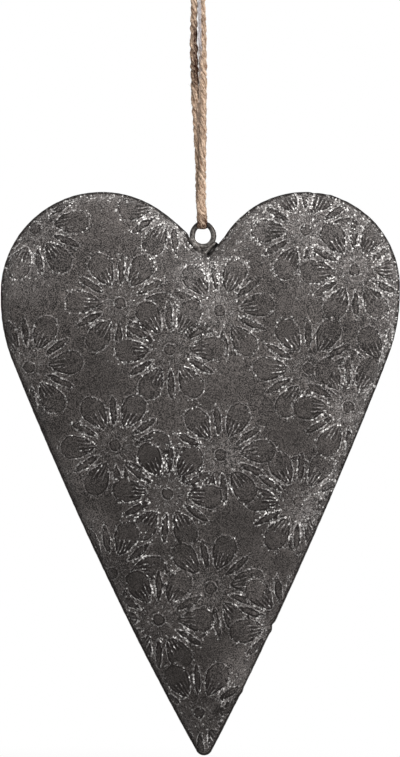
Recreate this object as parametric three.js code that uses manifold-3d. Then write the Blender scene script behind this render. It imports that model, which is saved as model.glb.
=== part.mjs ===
// A hanging heart of pressed tin plate, with its jute twine. Millimetres, +Z up, front towards -Y.
// The origin is the middle of the twine's knot, which holds the whole ornament up.
// Two dished shells lie lip to lip with solder between them. A wire eye sits in the notch,
// and the doubled twine passes through it and up to the knot.

import * as THREE from 'three';
import { mergeVertices } from 'three/addons/utils/BufferGeometryUtils.js';
import Module from 'manifold-3d';

const wasm = await Module();
wasm.setup();

// Where the eye hangs below the knot, and how far the twine leans.
const eyeDrop = 95;
const eyeSide = 1.86;

// The outline, seen from the front. Sides and heights are counted from the eye's middle.
// Each lobe's arc begins at its start, beside the eye, and rises to its rise above the eye.
const leftLobeRadius = 38.4;
const leftLobeStart = 18.1;
const leftLobeRise = 16.7;
const leftLobeInnerAngle = 58;
const rightLobeRadius = 36;
const rightLobeStart = 8.25;
const rightLobeRise = 16.7;
const rightLobeInnerAngle = 148;
const notchSide = 2.05;
const notchDrop = 7.2;
const innerEdgeLean = 10;
const notchLean = 7;
const notchAngle = 45;

// The flanks: a wider bend under each lobe, then one long curve to the tip.
const shoulderDrop = 2;
const leftShoulderRadius = 65.5;
const leftShoulderTurn = 22;
const leftFlankStart = 74;
const leftFlankEnd = 33.7;
const leftTipAngle = 29.4;
const rightShoulderRadius = 69.3;
const rightShoulderTurn = 20.6;
const rightFlankStart = 28.1;
const rightFlankEnd = 60.5;
const rightTipAngle = 27.8;
const tipSide = 0.4;
const tipDrop = 197.3;
const tipRadius = 3.2;

// The pressed sheet.
const sheetThickness = 0.5;
const crownHeight = 8.3;
const crownDrop = 62;
const crownSide = -0.95;
const crownFullness = 4;
const crownSoftening = 60;
const lipWidth = 1.1;

// The solder between the lips, which stands a little proud of them.
const seamThickness = 0.3;
const seamProud = 0.25;
const seamInside = 0.15;

// The eye: round wire, its ring a little taller above its middle than below.
const wireRadius = 1;
const eyeHoleRadius = 3.04;
const eyeHoleRise = 3.64;
const seatClearance = 0.3;
const tongueThickness = 1.8;
const slitWidth = 0.75;

// The twine, flattened where it turns round the eye's wire. On its way down it bows to the left.
const twineRadius = 1.3;
const twineBow = 0.5;
const bightThickness = 1.1;
const bightWidth = 4.1;
const bightClearance = 0.5;
const bightStraight = 3;
const twineGap = 0.3;
const knotRadius = 3.7;
const tailLength = 8;
const tailSpread = 2.2;

// The two legs of the twine between knot and eye: height below the knot, half the distance
// between the legs, and how far the pair is turned from front-and-back to side by side.
const twineRoute = [
  [8, 1.5, 90],
  [13, 1.66, 90],
  [19, 1.75, 90],
  [26, 1.76, 90],
  [32, 1.7, 89],
  [38, 1.58, 84],
  [44, 1.5, 75],
  [50, 1.46, 62],
  [56, 1.46, 48],
  [62, 1.48, 37],
  [68, 1.53, 28],
  [74, 1.63, 18],
  [79, 1.8, 8],
  [83, 1.98, 2],
];

// How finely round forms are divided.
const lobeSteps = 22;
const flankSteps = 16;
const bendSteps = 5;
const edgeSteps = 7;
const seatSteps = 48;
const wireSteps = 40;
const wireSides = 10;
const twineSides = 8;
const bightSteps = 22;
const legSteps = 16;
const tailSteps = 3;
const knotSteps = 8;
const knotSides = 12;
// The crown's level lines, as shares of the way from its middle to the lip.
const crownLevels = [1, 0.985, 0.955, 0.91, 0.85, 0.76, 0.64, 0.48, 0.26];
// The least cosine of half a corner's turn, which keeps a sharp corner's inset short.
const cornerLimit = 0.4;

const colours = {
  tin: { color: 0x4b4744, roughness: 0.62, metalness: 0.75 },
  solder: { color: 0x55524e, roughness: 0.55, metalness: 0.8 },
  wire: { color: 0x4d4b49, roughness: 0.5, metalness: 0.85 },
  jute: { color: 0xb7997a, roughness: 0.95, metalness: 0 },
};

const radians = THREE.MathUtils.degToRad;

// The point at a distance from another, in the direction of an angle, in the outline's plane.
function around(centre, radius, degrees) {
  const angle = radians(degrees);
  const x = centre.x + radius * Math.cos(angle);
  const y = centre.y + radius * Math.sin(angle);
  return new THREE.Vector2(x, y);
}

function arcPoints(centre, radius, from, to, steps) {
  const points = [];
  for (let i = 0; i < steps; i += 1) {
    points.push(around(centre, radius, from + (to - from) * i / steps));
  }
  return points;
}

function curvePoints(start, startHandle, endHandle, end, steps) {
  const curve = new THREE.CubicBezierCurve(start, startHandle, endHandle, end);
  return curve.getSpacedPoints(steps).slice(0, -1);
}

// The middle of a lobe's arc. start is how far to its side of the eye the arc begins.
function lobeMiddle(start, rise, radius, innerAngle) {
  return new THREE.Vector2(start - radius * Math.cos(radians(innerAngle)), rise - radius);
}

function leftLobeMiddle() {
  return lobeMiddle(-leftLobeStart, leftLobeRise, leftLobeRadius, leftLobeInnerAngle);
}

function rightLobeMiddle() {
  return lobeMiddle(rightLobeStart, rightLobeRise, rightLobeRadius, rightLobeInnerAngle);
}

// The heart's outline, counterclockwise from the notch, as a list of points with no repeats.
function heartOutline() {
  const notch = new THREE.Vector2(notchSide, -notchDrop);
  const leftLobe = leftLobeMiddle();
  const rightLobe = rightLobeMiddle();
  const tip = new THREE.Vector2(tipSide, -tipDrop + tipRadius);

  const leftInner = around(leftLobe, leftLobeRadius, leftLobeInnerAngle);
  const leftInnerHandle = around(leftInner, innerEdgeLean, leftLobeInnerAngle - 90);
  const notchHandle = around(notch, notchLean, 180 - notchAngle);
  const rightInner = around(rightLobe, rightLobeRadius, rightLobeInnerAngle);

  const leftShoulder = leftLobe.clone();
  leftShoulder.x += leftShoulderRadius - leftLobeRadius;
  leftShoulder.y -= shoulderDrop;
  const rightShoulder = rightLobe.clone();
  rightShoulder.x += rightLobeRadius - rightShoulderRadius;
  rightShoulder.y -= shoulderDrop;
  const leftTurned = around(leftShoulder, leftShoulderRadius, 180 + leftShoulderTurn);
  const leftTurnedHandle = around(leftTurned, leftFlankStart, leftShoulderTurn - 90);
  const rightTurned = around(rightShoulder, rightShoulderRadius, -rightShoulderTurn);
  const rightTurnedHandle = around(rightTurned, rightFlankStart, -90 - rightShoulderTurn);

  const leftTip = around(tip, tipRadius, 180 + leftTipAngle);
  const leftTipHandle = around(leftTip, leftFlankEnd, 90 + leftTipAngle);
  const rightTip = around(tip, tipRadius, -rightTipAngle);
  const rightTipHandle = around(rightTip, rightFlankEnd, 90 - rightTipAngle);

  return [
    ...curvePoints(notch, notchHandle, leftInnerHandle, leftInner, edgeSteps),
    ...arcPoints(leftLobe, leftLobeRadius, leftLobeInnerAngle, 180, lobeSteps),
    ...arcPoints(leftShoulder, leftShoulderRadius, 180, 180 + leftShoulderTurn, bendSteps),
    ...curvePoints(leftTurned, leftTurnedHandle, leftTipHandle, leftTip, flankSteps),
    ...arcPoints(tip, tipRadius, 180 + leftTipAngle, 360 - rightTipAngle, bendSteps),
    ...curvePoints(rightTip, rightTipHandle, rightTurnedHandle, rightTurned, flankSteps),
    ...arcPoints(rightShoulder, rightShoulderRadius, -rightShoulderTurn, 0, bendSteps),
    ...arcPoints(rightLobe, rightLobeRadius, 0, rightLobeInnerAngle, lobeSteps),
    ...curvePoints(rightInner, rightInner, notch, notch, edgeSteps),
  ];
}

// The outline moved inwards by a distance, each corner along its bisector.
function inset(outline, distance) {
  return outline.map((point, i) => {
    const before = outline[(i + outline.length - 1) % outline.length];
    const after = outline[(i + 1) % outline.length];
    const arriving = point.clone().sub(before).normalize();
    const leaving = after.clone().sub(point).normalize();
    const along = arriving.clone().add(leaving).normalize();
    const inwards = new THREE.Vector2(-along.y, along.x);
    const reach = distance / Math.max(along.dot(arriving), cornerLimit);
    return point.clone().addScaledVector(inwards, reach);
  });
}

// A closed surface through rings of points. A ring of one point closes an end;
// otherwise the last ring joins the first.
function surfaceThrough(rings) {
  const vertices = [];
  const starts = rings.map((ring) => {
    const start = vertices.length / 3;
    ring.forEach((point) => vertices.push(point.x, point.y, point.z));
    return start;
  });
  const faces = [];
  const bands = rings[0].length === 1 ? rings.length - 1 : rings.length;
  for (let k = 0; k < bands; k += 1) {
    const next = (k + 1) % rings.length;
    const count = Math.max(rings[k].length, rings[next].length);
    for (let i = 0; i < count; i += 1) {
      const j = (i + 1) % count;
      const here = [i, j].map((n) => starts[k] + n % rings[k].length);
      const there = [i, j].map((n) => starts[next] + n % rings[next].length);
      if (rings[k].length > 1) {
        faces.push(here[0], here[1], there[0]);
      }
      if (rings[next].length > 1) {
        const first = rings[k].length > 1 ? here[1] : here[0];
        faces.push(first, there[1], there[0]);
      }
    }
  }
  return facingOut(vertices, faces);
}

// The geometry with its faces pointing outwards, whichever way round its rings were given.
function facingOut(vertices, faces) {
  let volume = 0;
  const corner = (n) => new THREE.Vector3().fromArray(vertices, faces[n] * 3);
  for (let n = 0; n < faces.length; n += 3) {
    volume += corner(n).dot(corner(n + 1).cross(corner(n + 2)));
  }
  const ordered = volume > 0 ? faces : faces.toReversed();
  const geometry = new THREE.BufferGeometry();
  geometry.setAttribute('position', new THREE.Float32BufferAttribute(vertices, 3));
  geometry.setIndex(ordered);
  return geometry;
}

function toSolid(geometry) {
  const bare = geometry.clone();
  bare.deleteAttribute('normal');
  bare.deleteAttribute('uv');
  const merged = mergeVertices(bare, 1e-4);
  const mesh = new wasm.Mesh({
    numProp: 3,
    vertProperties: new Float32Array(merged.attributes.position.array),
    triVerts: new Uint32Array(merged.index.array),
  });
  return new wasm.Manifold(mesh);
}

function fromSolid(solid) {
  const mesh = solid.getMesh();
  const geometry = new THREE.BufferGeometry();
  geometry.setAttribute('position', new THREE.Float32BufferAttribute(mesh.vertProperties, 3));
  geometry.setIndex([...mesh.triVerts]);
  return geometry;
}

function cut(geometry, tool) {
  return fromSolid(toSolid(geometry).subtract(toSolid(tool)));
}

function join(geometries) {
  return fromSolid(geometries.map(toSolid).reduce((whole, next) => whole.add(next)));
}

// The round pocket that the eye sits in, cut through lips and solder.
function eyeSeat() {
  const depth = 4 * (crownHeight + sheetThickness);
  return new THREE.CylinderGeometry(eyeReach(), eyeReach(), depth, seatSteps);
}

function eyeReach() {
  return eyeHoleRadius + 2 * wireRadius + seatClearance;
}

// Height of the pressed crown at a share of the way from its middle to the lip:
// full over most of the face, then rolling over ever more steeply down to the lip.
function crownProfile(share) {
  return crownHeight * Math.sqrt(1 - share ** crownFullness);
}

// The outline with its corners rounded off, each point drawn to its neighbours' mean.
function softened(outline, rounds) {
  let points = outline;
  for (let round = 0; round < rounds; round += 1) {
    points = points.map((point, i) => {
      const before = points[(i + points.length - 1) % points.length];
      const after = points[(i + 1) % points.length];
      return before.clone().add(after).multiplyScalar(0.5).lerp(point, 0.5);
    });
  }
  return points;
}

// One dished shell. side is -1 for the front and 1 for the back. Its level lines have the
// outline's corners at the lip and lose them towards the middle.
function shell(outline, side) {
  const middle = new THREE.Vector2(crownSide, -crownDrop);
  const edge = inset(outline, seamProud);
  const face = seamThickness / 2;

  const flat = (points, height) => points.map((p) => new THREE.Vector3(p.x, side * height, p.y));
  const domed = (foot, height) => {
    const soft = softened(foot, crownSoftening);
    return crownLevels.map((share) => {
      const level = foot.map((p, i) => p.clone().lerp(soft[i], 1 - share));
      const points = level.map((p) => middle.clone().lerp(p, share));
      return flat(points, height + crownProfile(share));
    });
  };

  const outside = domed(inset(edge, lipWidth), face + sheetThickness);
  const inside = domed(inset(edge, lipWidth + sheetThickness), face);
  const dish = surfaceThrough([
    flat([middle], face + sheetThickness + crownHeight),
    ...outside.toReversed(),
    flat(edge, face + sheetThickness),
    flat(edge, face),
    ...inside,
    flat([middle], face + crownHeight),
  ]);
  return cut(dish, eyeSeat());
}

// The thin band of solder between the lips.
function seamSolder(outline) {
  const inner = inset(outline, seamProud + lipWidth - seamInside);
  const upright = (points, height) => points.map((p) => new THREE.Vector3(p.x, height, p.y));
  const half = seamThickness / 2;
  const band = surfaceThrough([
    upright(outline, -half),
    upright(inner, -half),
    upright(inner, half),
    upright(outline, half),
  ]);
  return cut(band, eyeSeat());
}

// The eye's wire, closed to a ring. Its hole rises higher above its middle than below it.
function eyeRing() {
  const radius = eyeHoleRadius + wireRadius;
  const rise = eyeHoleRise + wireRadius;
  const rings = [];
  for (let i = 0; i < wireSteps; i += 1) {
    const angle = 2 * Math.PI * i / wireSteps;
    const tall = Math.sin(angle) > 0 ? rise : radius;
    const centre = new THREE.Vector3(radius * Math.cos(angle), 0, tall * Math.sin(angle));
    const out = new THREE.Vector3(tall * Math.cos(angle), 0, radius * Math.sin(angle)).normalize();
    const ring = [];
    for (let k = 0; k < wireSides; k += 1) {
      const turn = 2 * Math.PI * k / wireSides;
      const point = centre.clone().addScaledVector(out, wireRadius * Math.cos(turn));
      point.y += wireRadius * Math.sin(turn);
      ring.push(point);
    }
    rings.push(ring);
  }
  return surfaceThrough(rings);
}

// The solder tongue that fills the notch under the eye, with a slit left along the right lobe.
function eyeSolder() {
  const notch = new THREE.Vector2(notchSide, -notchDrop);
  const rightInner = around(rightLobeMiddle(), rightLobeRadius, rightLobeInnerAngle);
  const upLeft = around(new THREE.Vector2(), 1, 180 - notchAngle);
  const upRight = rightInner.clone().sub(notch).normalize();
  const fromLeft = new THREE.Vector2(upLeft.y, -upLeft.x);
  const fromRight = new THREE.Vector2(-upRight.y, upRight.x);
  const leftStart = notch.clone().addScaledVector(fromLeft, seatClearance);
  const rightStart = notch.clone().addScaledVector(fromRight, slitWidth);

  const bottom = crossing(leftStart, upLeft, rightStart, upRight);
  const left = reachCircle(bottom, upLeft, eyeReach());
  const right = reachCircle(bottom, upRight, eyeReach());
  const shape = new THREE.Shape();
  shape.moveTo(bottom.x, bottom.y);
  shape.lineTo(right.x, right.y);
  shape.absarc(0, 0, eyeReach(), right.angle(), left.angle(), true);
  shape.closePath();
  const plate = new THREE.ExtrudeGeometry(shape, {
    depth: tongueThickness,
    bevelEnabled: false,
    curveSegments: bendSteps,
  });
  plate.translate(0, 0, -tongueThickness / 2);
  plate.rotateX(Math.PI / 2);
  return plate;
}

// Where two lines cross, each given by a point and a direction.
function crossing(firstPoint, firstWay, secondPoint, secondWay) {
  const between = secondPoint.clone().sub(firstPoint);
  const distance = between.cross(secondWay) / firstWay.cross(secondWay);
  return firstPoint.clone().addScaledVector(firstWay, distance);
}

// Where a line from a point outside the eye's circle first meets it.
function reachCircle(point, way, radius) {
  const along = -point.dot(way);
  const nearest = point.clone().addScaledVector(way, along);
  const back = Math.sqrt(Math.max(radius ** 2 - nearest.lengthSq(), 0));
  return point.clone().addScaledVector(way, along - back);
}

// The middle of the eye's wire at its top, which the twine turns round.
function wireTop() {
  return new THREE.Vector3(eyeSide, 0, -eyeDrop + eyeHoleRise + wireRadius);
}

// A polygon with the same two widths as an ellipse. Along a path in the plane of front and
// back, the first is measured in that plane and the second across it.
function roundSection(width, height) {
  const shape = new THREE.Shape();
  for (let k = 0; k < twineSides; k += 1) {
    const turn = 2 * Math.PI * k / twineSides;
    const x = width / 2 * Math.cos(turn);
    const y = height / 2 * Math.sin(turn);
    if (k === 0) {
      shape.moveTo(x, y);
    } else {
      shape.lineTo(x, y);
    }
  }
  return shape;
}

function tube(path, section, steps) {
  return new THREE.ExtrudeGeometry(section, { steps, extrudePath: path, bevelEnabled: false });
}

// A bend in the plane of front and back: down, half a turn below the wire, and up again.
class BightPath extends THREE.Curve {
  constructor(top, radius, straight) {
    super();
    this.top = top;
    this.radius = radius;
    this.straight = straight;
  }

  getPoint(share, target = new THREE.Vector3()) {
    const half = Math.PI * this.radius / 2;
    const distance = (2 * share - 1) * (half + this.straight);
    const angle = THREE.MathUtils.clamp(distance / this.radius, -Math.PI / 2, Math.PI / 2);
    const above = Math.max(Math.abs(distance) - half, 0);
    const y = this.radius * Math.sin(angle);
    const z = above - this.radius * Math.cos(angle);
    return target.set(this.top.x, this.top.y + y, this.top.z + z);
  }
}

function bightRadius() {
  return wireRadius + bightClearance + bightThickness / 2;
}

function twineBight() {
  const path = new BightPath(wireTop(), bightRadius(), bightStraight);
  return tube(path, roundSection(bightThickness, bightWidth), bightSteps);
}

// One leg of the twine. side is 1 for the leg that is at the front of the eye and on the
// right at the knot, and -1 for the other.
function twineLeg(side) {
  const top = wireTop();
  const lean = (drop) => {
    const share = drop / -top.z;
    return eyeSide * share - twineBow * Math.sin(Math.PI * share);
  };
  const first = [knotRadius + twineGap, ...twineRoute[0].slice(1)];
  const points = [first, ...twineRoute].map(([drop, half, turned]) => {
    const x = lean(drop) + side * half * Math.sin(radians(turned));
    const y = -side * half * Math.cos(radians(turned));
    return new THREE.Vector3(x, y, -drop);
  });
  const end = top.clone();
  end.y -= side * bightRadius();
  end.z += bightStraight + twineGap;
  points.push(end);
  const path = new THREE.CatmullRomCurve3(points, false, 'centripetal');
  return tube(path, roundSection(2 * twineRadius, 2 * twineRadius), legSteps);
}

// The overhand knot as a rounded lump, with the twine's two cut ends above it.
function twineKnot() {
  const profile = [];
  for (let i = 0; i <= knotSteps; i += 1) {
    const angle = Math.PI * (i / knotSteps - 0.5);
    const x = i % knotSteps === 0 ? 0 : knotRadius * Math.cos(angle);
    profile.push(new THREE.Vector2(x, knotRadius * Math.sin(angle)));
  }
  const lump = new THREE.LatheGeometry(profile, knotSides);
  lump.rotateX(Math.PI / 2);
  return join([lump, twineTail(1), twineTail(-1)]);
}

function twineTail(side) {
  const start = new THREE.Vector3(side * twineRadius, 0, 0);
  const middle = new THREE.Vector3(side * (twineRadius + tailSpread / 2), 0, knotRadius);
  const end = new THREE.Vector3(side * (twineRadius + tailSpread), 0, knotRadius + tailLength);
  const path = new THREE.QuadraticBezierCurve3(start, middle, end);
  return tube(path, roundSection(2 * twineRadius, 2 * twineRadius), tailSteps);
}

function piece(name, geometry, look) {
  const mesh = new THREE.Mesh(geometry, new THREE.MeshStandardMaterial(look));
  mesh.name = name;
  return mesh;
}

const outline = heartOutline();

const heart = new THREE.Group();
heart.position.set(eyeSide, 0, -eyeDrop);
heart.add(piece('front_shell', shell(outline, -1), colours.tin));
heart.add(piece('back_shell', shell(outline, 1), colours.tin));
heart.add(piece('seam_solder', seamSolder(outline), colours.solder));
heart.add(piece('eye_ring', eyeRing(), colours.wire));
heart.add(piece('eye_solder', eyeSolder(), colours.solder));

const twine = new THREE.Group();
twine.add(piece('twine_bight', twineBight(), colours.jute));
twine.add(piece('twine_leg_right', twineLeg(1), colours.jute));
twine.add(piece('twine_leg_left', twineLeg(-1), colours.jute));
twine.add(piece('twine_knot', twineKnot(), colours.jute));

const ornament = new THREE.Group();
ornament.add(heart, twine);

export default ornament;
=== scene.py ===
"""A hanging heart of pressed tin with its jute twine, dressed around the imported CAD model.

Metres, +Z up, front towards -Y. The origin is the middle of the twine's knot. Shapes are worked
out in millimetres and turned to metres where they become a mesh.
"""

import math
from functools import partial

import bpy
import numpy as np
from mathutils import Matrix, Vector


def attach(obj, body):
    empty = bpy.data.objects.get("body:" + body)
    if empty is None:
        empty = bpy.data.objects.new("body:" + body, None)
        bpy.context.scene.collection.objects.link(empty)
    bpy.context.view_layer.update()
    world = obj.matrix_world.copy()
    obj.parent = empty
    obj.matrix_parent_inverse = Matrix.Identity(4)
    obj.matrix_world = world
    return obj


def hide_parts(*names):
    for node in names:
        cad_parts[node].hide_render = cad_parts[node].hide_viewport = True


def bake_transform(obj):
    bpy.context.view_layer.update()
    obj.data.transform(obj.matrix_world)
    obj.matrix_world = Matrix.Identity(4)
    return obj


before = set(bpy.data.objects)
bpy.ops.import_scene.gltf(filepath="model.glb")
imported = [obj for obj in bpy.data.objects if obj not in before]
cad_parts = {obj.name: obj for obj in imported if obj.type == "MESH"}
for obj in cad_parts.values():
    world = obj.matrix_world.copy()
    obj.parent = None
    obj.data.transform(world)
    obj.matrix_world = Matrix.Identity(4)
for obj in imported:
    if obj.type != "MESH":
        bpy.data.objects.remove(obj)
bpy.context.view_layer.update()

MM = 0.001

# Where the eye hangs below the knot.
EYE_DROP = 95
EYE_SIDE = 1.86
EYE_CENTRE = np.array([EYE_SIDE, -EYE_DROP])

# The outline, from the front. Sides and heights are counted from the eye's middle. A lobe is
# given by where its arc starts, how high it rises, its radius and its inner angle. A shoulder is
# an arc of a radius and a turn, and goes over into a flank, whose two handles have the lengths
# start and end. A leaned edge has handles too.
LEFT_LOBE_RADIUS = 38.4
LEFT_LOBE_INNER_ANGLE = 58
LEFT_LOBE = (-18.1, 16.7, LEFT_LOBE_RADIUS, LEFT_LOBE_INNER_ANGLE)
RIGHT_LOBE_RADIUS = 36
RIGHT_LOBE_INNER_ANGLE = 148
RIGHT_LOBE = (8.25, 16.7, RIGHT_LOBE_RADIUS, RIGHT_LOBE_INNER_ANGLE)
NOTCH = (2.05, -7.2)
NOTCH_ANGLE = 45
NOTCH_LEAN = 7
INNER_EDGE_LEAN = 10
SHOULDER_DROP = 2
LEFT_SHOULDER = {"radius": 65.5, "turn": 22, "start": 74, "end": 33.7, "tip_angle": 29.4}
RIGHT_SHOULDER = {"radius": 69.3, "turn": 20.6, "start": 28.1, "end": 60.5, "tip_angle": 27.8}
TIP = (0.4, -197.3)
TIP_RADIUS = 3.2
# The CAD outline's steps along an inner edge, a lobe, a shoulder or the tip, and a flank, and
# how many points stand for each step here.
OUTLINE_STEPS = (7, 22, 5, 16)
FINENESS = 40

# The pressed sheet and the solder between the two lips. The crown's height falls off with this
# power of the way out, and its inner lines are softened by so many rounds. A corner sharper than
# the limit isn't moved in any further.
SHEET = 0.5
CROWN_HEIGHT = 8.3
CROWN_MIDDLE = np.array([-0.95, -62])
CROWN_FULLNESS = 4
CROWN_SOFTENING = 60
LIP = 1.1
SEAM = 0.3
SEAM_PROUD = 0.25
CORNER_LIMIT = 0.4
BEAD_WIDTH = 0.3
BEAD_HEIGHT = 0.34

# The eye of round wire, the middle of its wire at the top, and its solder. The heart's outline
# keeps clear of the eye's reach, and turns aside with this rounding.
WIRE_RADIUS = 1
EYE_HOLE_RADIUS = 3.04
EYE_HOLE_RISE = 3.64
SEAT_CLEARANCE = 0.3
SEAT_ROUNDING = 0.5
EYE_REACH = EYE_HOLE_RADIUS + 2 * WIRE_RADIUS + SEAT_CLEARANCE
WIRE_TOP = np.array([EYE_SIDE, 0, -EYE_DROP + EYE_HOLE_RISE + WIRE_RADIUS])
TONGUE_THICKNESS = 1.8
TONGUE_LENGTH = 5.4
TONGUE_MIDDLE = (0.6, -5.6)
TONGUE_LEFT_EDGE = [(-3.9, -4.3), (-2.6, -5.6), (-0.4, -7.0), (1.0, -7.6)]
SOLDER_OVERLAP = 0.75
FILLET_TURN = (182, 262)
SLIT_WIDTH = 0.75
# The web in the slit is a near-black sheet of painted shade.
SHADE_WEB_THICKNESS = 0.5
# A black spot in the tongue, just under the eye.
BLACK_SPOT = (-0.35, -5.4)
BLACK_SPOT_SIZE = (0.5, 0.8)

# The twine. Its middle line bows to the left, and it turns close under the wire, a little left
# of the eye's middle. The bight's two ends are this far above the middle of the wire.
TWINE_RADIUS = 1.3
TWINE_BOW = 0.5
BIGHT_HUG = 1.58
BIGHT_SIDE = EYE_SIDE - 0.42
BIGHT_STRAIGHT = 3
# Towards the wire it widens and loosens, and at last it is squeezed flat, each between two
# heights above the wire. Below the knot it gets a little fatter between two drops, and it is
# wider where its legs press on each other, which comes and goes between two drops each.
BIGHT_WIDTH = 3.7
BIGHT_THICKNESS = 1.1
WIDENING = (22, 4)
SQUEEZE = (5, 0)
LOOSENED = 0.6
FATTER, FATTER_DROPS = 0.08, (10, 30)
PRESSED, PRESSED_FROM, PRESSED_TO = 0.09, (20, 27), (52, 42)
# Three plies laid together, with one turn in each lay length.
PLY_RADIUS = 0.72
PLY_OFFSET = 0.58
LAY_LENGTH = 12.9
LAY_DRIFT = 0.12
TWINE_SIDES = 48
TWINE_STEP = 0.22
# Its hairs, and the loose ones in the gap between the legs: from one drop to another, how many,
# the shares of the way from right to left that they lie between, and how pale they are.
FIBRE_RADIUS = 0.06
FIBRE_SIDES = np.radians([0, 120, 240])
HAIR_LENGTH = 1.7
HAIR_TONE = 0.1
GAP_FUZZ = [
    (3, 23, 260, 0.16, 0.52, 1),
    (22, 34, 60, 0.16, 0.52, 0.4),
    (32, 58, 160, 0.16, 0.52, 0.1),
    (44, 72, 260, 0.55, 0.85, 0.1),
]
# The knot: a ring that the doubled line goes round twice, and two short frayed ends.
KNOT_RADIUS = 3.7
KNOT_SIZE = 1.15
KNOT_STRAND_RADIUS = 1.15
KNOT_STRAND_SIDES = 36
KNOT_PAIR = 0.95
KNOT_SHARES = (-0.16, 0.82)
KNOT_HAIR_LENGTH = 1.8
FRAY_LENGTH = 3.2
TAIL_LENGTH = 8
# A leg starts inside the knot, this far to its side of the middle and this far below it. It
# comes over to the turn's side between two drops. Its last rows give a height above the wire,
# and how far it is in front of the wire or behind it.
LEG_START = (0.9, 2.4)
SIDE_DROPS = (62, 82)
ABOVE_WIRE = ((3.3, 1.98), (1.6, 1.84), (0, BIGHT_HUG))
# The legs' route: drop below the knot, half the distance between the legs, and how far the pair
# is turned from front-and-back to side by side.
TWINE_ROUTE = [
    (4, 1.5, 90),
    (8, 1.5, 90),
    (13, 1.66, 90),
    (19, 1.75, 90),
    (26, 1.68, 90),
    (32, 1.58, 89),
    (38, 1.52, 84),
    (44, 1.48, 75),
    (50, 1.46, 62),
    (56, 1.46, 48),
    (62, 1.48, 37),
    (68, 1.53, 28),
    (74, 1.63, 18),
    (79, 1.8, 8),
    (83, 1.98, 2),
]

# The daisies pressed into the front, lowest first: side, height, and turn in degrees.
DAISIES = [
    (71.8, -148.6, -4),
    (40.8, -92.9, 1),
    (59.2, -108.3, 2),
    (46.3, -197.0, 2),
    (38.1, -195.9, -3),
    (41.6, -145.4, 0),
    (57.0, -160.0, 1),
    (-29.5, -120.7, -2),
    (8.1, -123.5, 8),
    (-10.7, -138.3, 2),
    (8.5, -178.0, 5),
    (-31.4, -174.4, 3),
    (-11.6, -192.7, -4),
    (-32.7, -223.1, 9),
    (4.7, -228.4, 10),
    (-14.9, -240.5, 0),
    (32.6, -242.4, 9),
    (0.3, -275.9, 3),
    (-64.1, -144.8, 6),
    (-62.0, -92.0, 8),
    (-9.7, -83.6, 4),
]
# The back is pressed from the same sheet, shifted and turned.
BACK_SHIFT = (-13, -17)
BACK_TURN = 23
BACK_TURN_HEIGHT = -165

# One daisy: six wide petals, six narrow ones between them, and a round middle. A petal is
# given by its start and end from the daisy's middle, half its width, and how blunt each end
# is, from 1 for a point to 0.5 for a round end.
WIDE_PETAL = (7.3, 20.9, 4.45, 0.85, 0.5)
NARROW_PETAL = (7.2, 18.7, 1.35, 0.8, 0.7)
DAISY_MIDDLE = 2.25
DAISY_HUB = 7.2
STROKE_ANGLE = 0.12
STROKES = [((8.3, 0), (13.4, 0)), ((8.3, 0.8), (13.6, 1.9))]
STROKE_WIDTH = 0.22

# How far the pressing stands up: petals, the rim round each, and the strokes. Then the distance
# that stands for being off all lines, and the one from its middle at which a daisy ends.
PETAL_RISE = 0.3
RIM_RISE = 0.12
STROKE_RISE = 0.12
FAR_FROM_LINES = 3.0
DAISY_REACH = 22.5

# The photograph's frame in the plane of the heart.
CAMERA_DISTANCE = 1600
SENSOR_WIDTH = 36
PHOTO_HEIGHT = 287.66
PHOTO_MIDDLE = (0.72, -149.15)

# The studio: the floor, which turns white between two distances, the world's fill light, and
# each lamp's name, place, width and power. The floor's corners and the lamps are in metres and
# watts.
FLOOR_HEIGHT = -318
FLOOR_CORNERS = [(-1.6, -1.8), (1.6, -1.8), (1.6, 1.4), (-1.6, 1.4)]
FLOOR_FADE = (0.36, 0.48)
FILL_LIGHT = 0.4
LAMP_TARGET = (0, 0, -0.2)
LAMPS = [
    ("key_from_upper_right", (0.34, -0.62, 0.2), 0.4, 5.6),
    ("key_behind", (0.42, 0.95, 0.2), 0.4, 12),
    ("soft_top", (0, -0.2, 1.4), 1.4, 8),
]

# How finely a shell is divided: points round it, where its middle patch ends and how many rings
# lie outside that, and the rings of its inner face.
AROUND = 1040
BAND_START = 0.9
BAND_RINGS = 11
INNER_SHARES = [1, 0.985, 0.955, 0.91, 0.85, 0.76, 0.64, 0.48, 0.26]

# Knocks in the edge: side, height, depth inwards and width.
EDGE_KNOCKS = [
    (28.6, -242.8, 0.5, 0.9),
    (28.2, -245.2, -0.35, 1.2),
    (16.1, -267.9, -0.35, 1.3),
    (75.6, -141.0, 0.25, 2.0),
    (-56.5, -190.0, 0.2, 1.6),
    (44.0, -78.5, 0.3, 1.2),
    (50.5, -79.6, -0.25, 1.4),
]

# Where the patina is rubbed pale, and where it is left heavy: side, height, reach and strength.
PALE_PATCHES = [
    (4, -106, 11, 1.1),
    (-5, -110, 6, 1.1),
    (-5, -127, 7, 0.6),
    (-12, -84, 15, 0.75),
    (-13, -89, 8, 1.2),
    (-17, -104, 9, 0.5),
    (-50, -95, 24, 0.2),
    (-56, -96, 10, 0.5),
    (-67, -106, 15, 0.85),
    (-59, -136, 7, 0.45),
    (-59, -162, 6, 0.75),
    (-50, -187, 9, 0.75),
    (-42, -205, 9, 0.9),
    (6, -122, 13, 0.25),
    (48, -86, 30, 0.5),
    (54, -97, 12, 0.62),
    (22, -89, 10, 1.1),
    (74, -120, 11, 0.8),
    (60, -150, 14, 0.35),
    (55, -160, 12, 0.45),
    (52, -191, 9, 1.3),
    (42, -200, 8, 0.95),
    (15, -178, 7, 0.5),
    (-1, -231, 13, 0.45),
    (22, -228, 8, 0.5),
    (23, -244, 7, 0.9),
    (17, -260, 10, 0.9),
]
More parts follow.
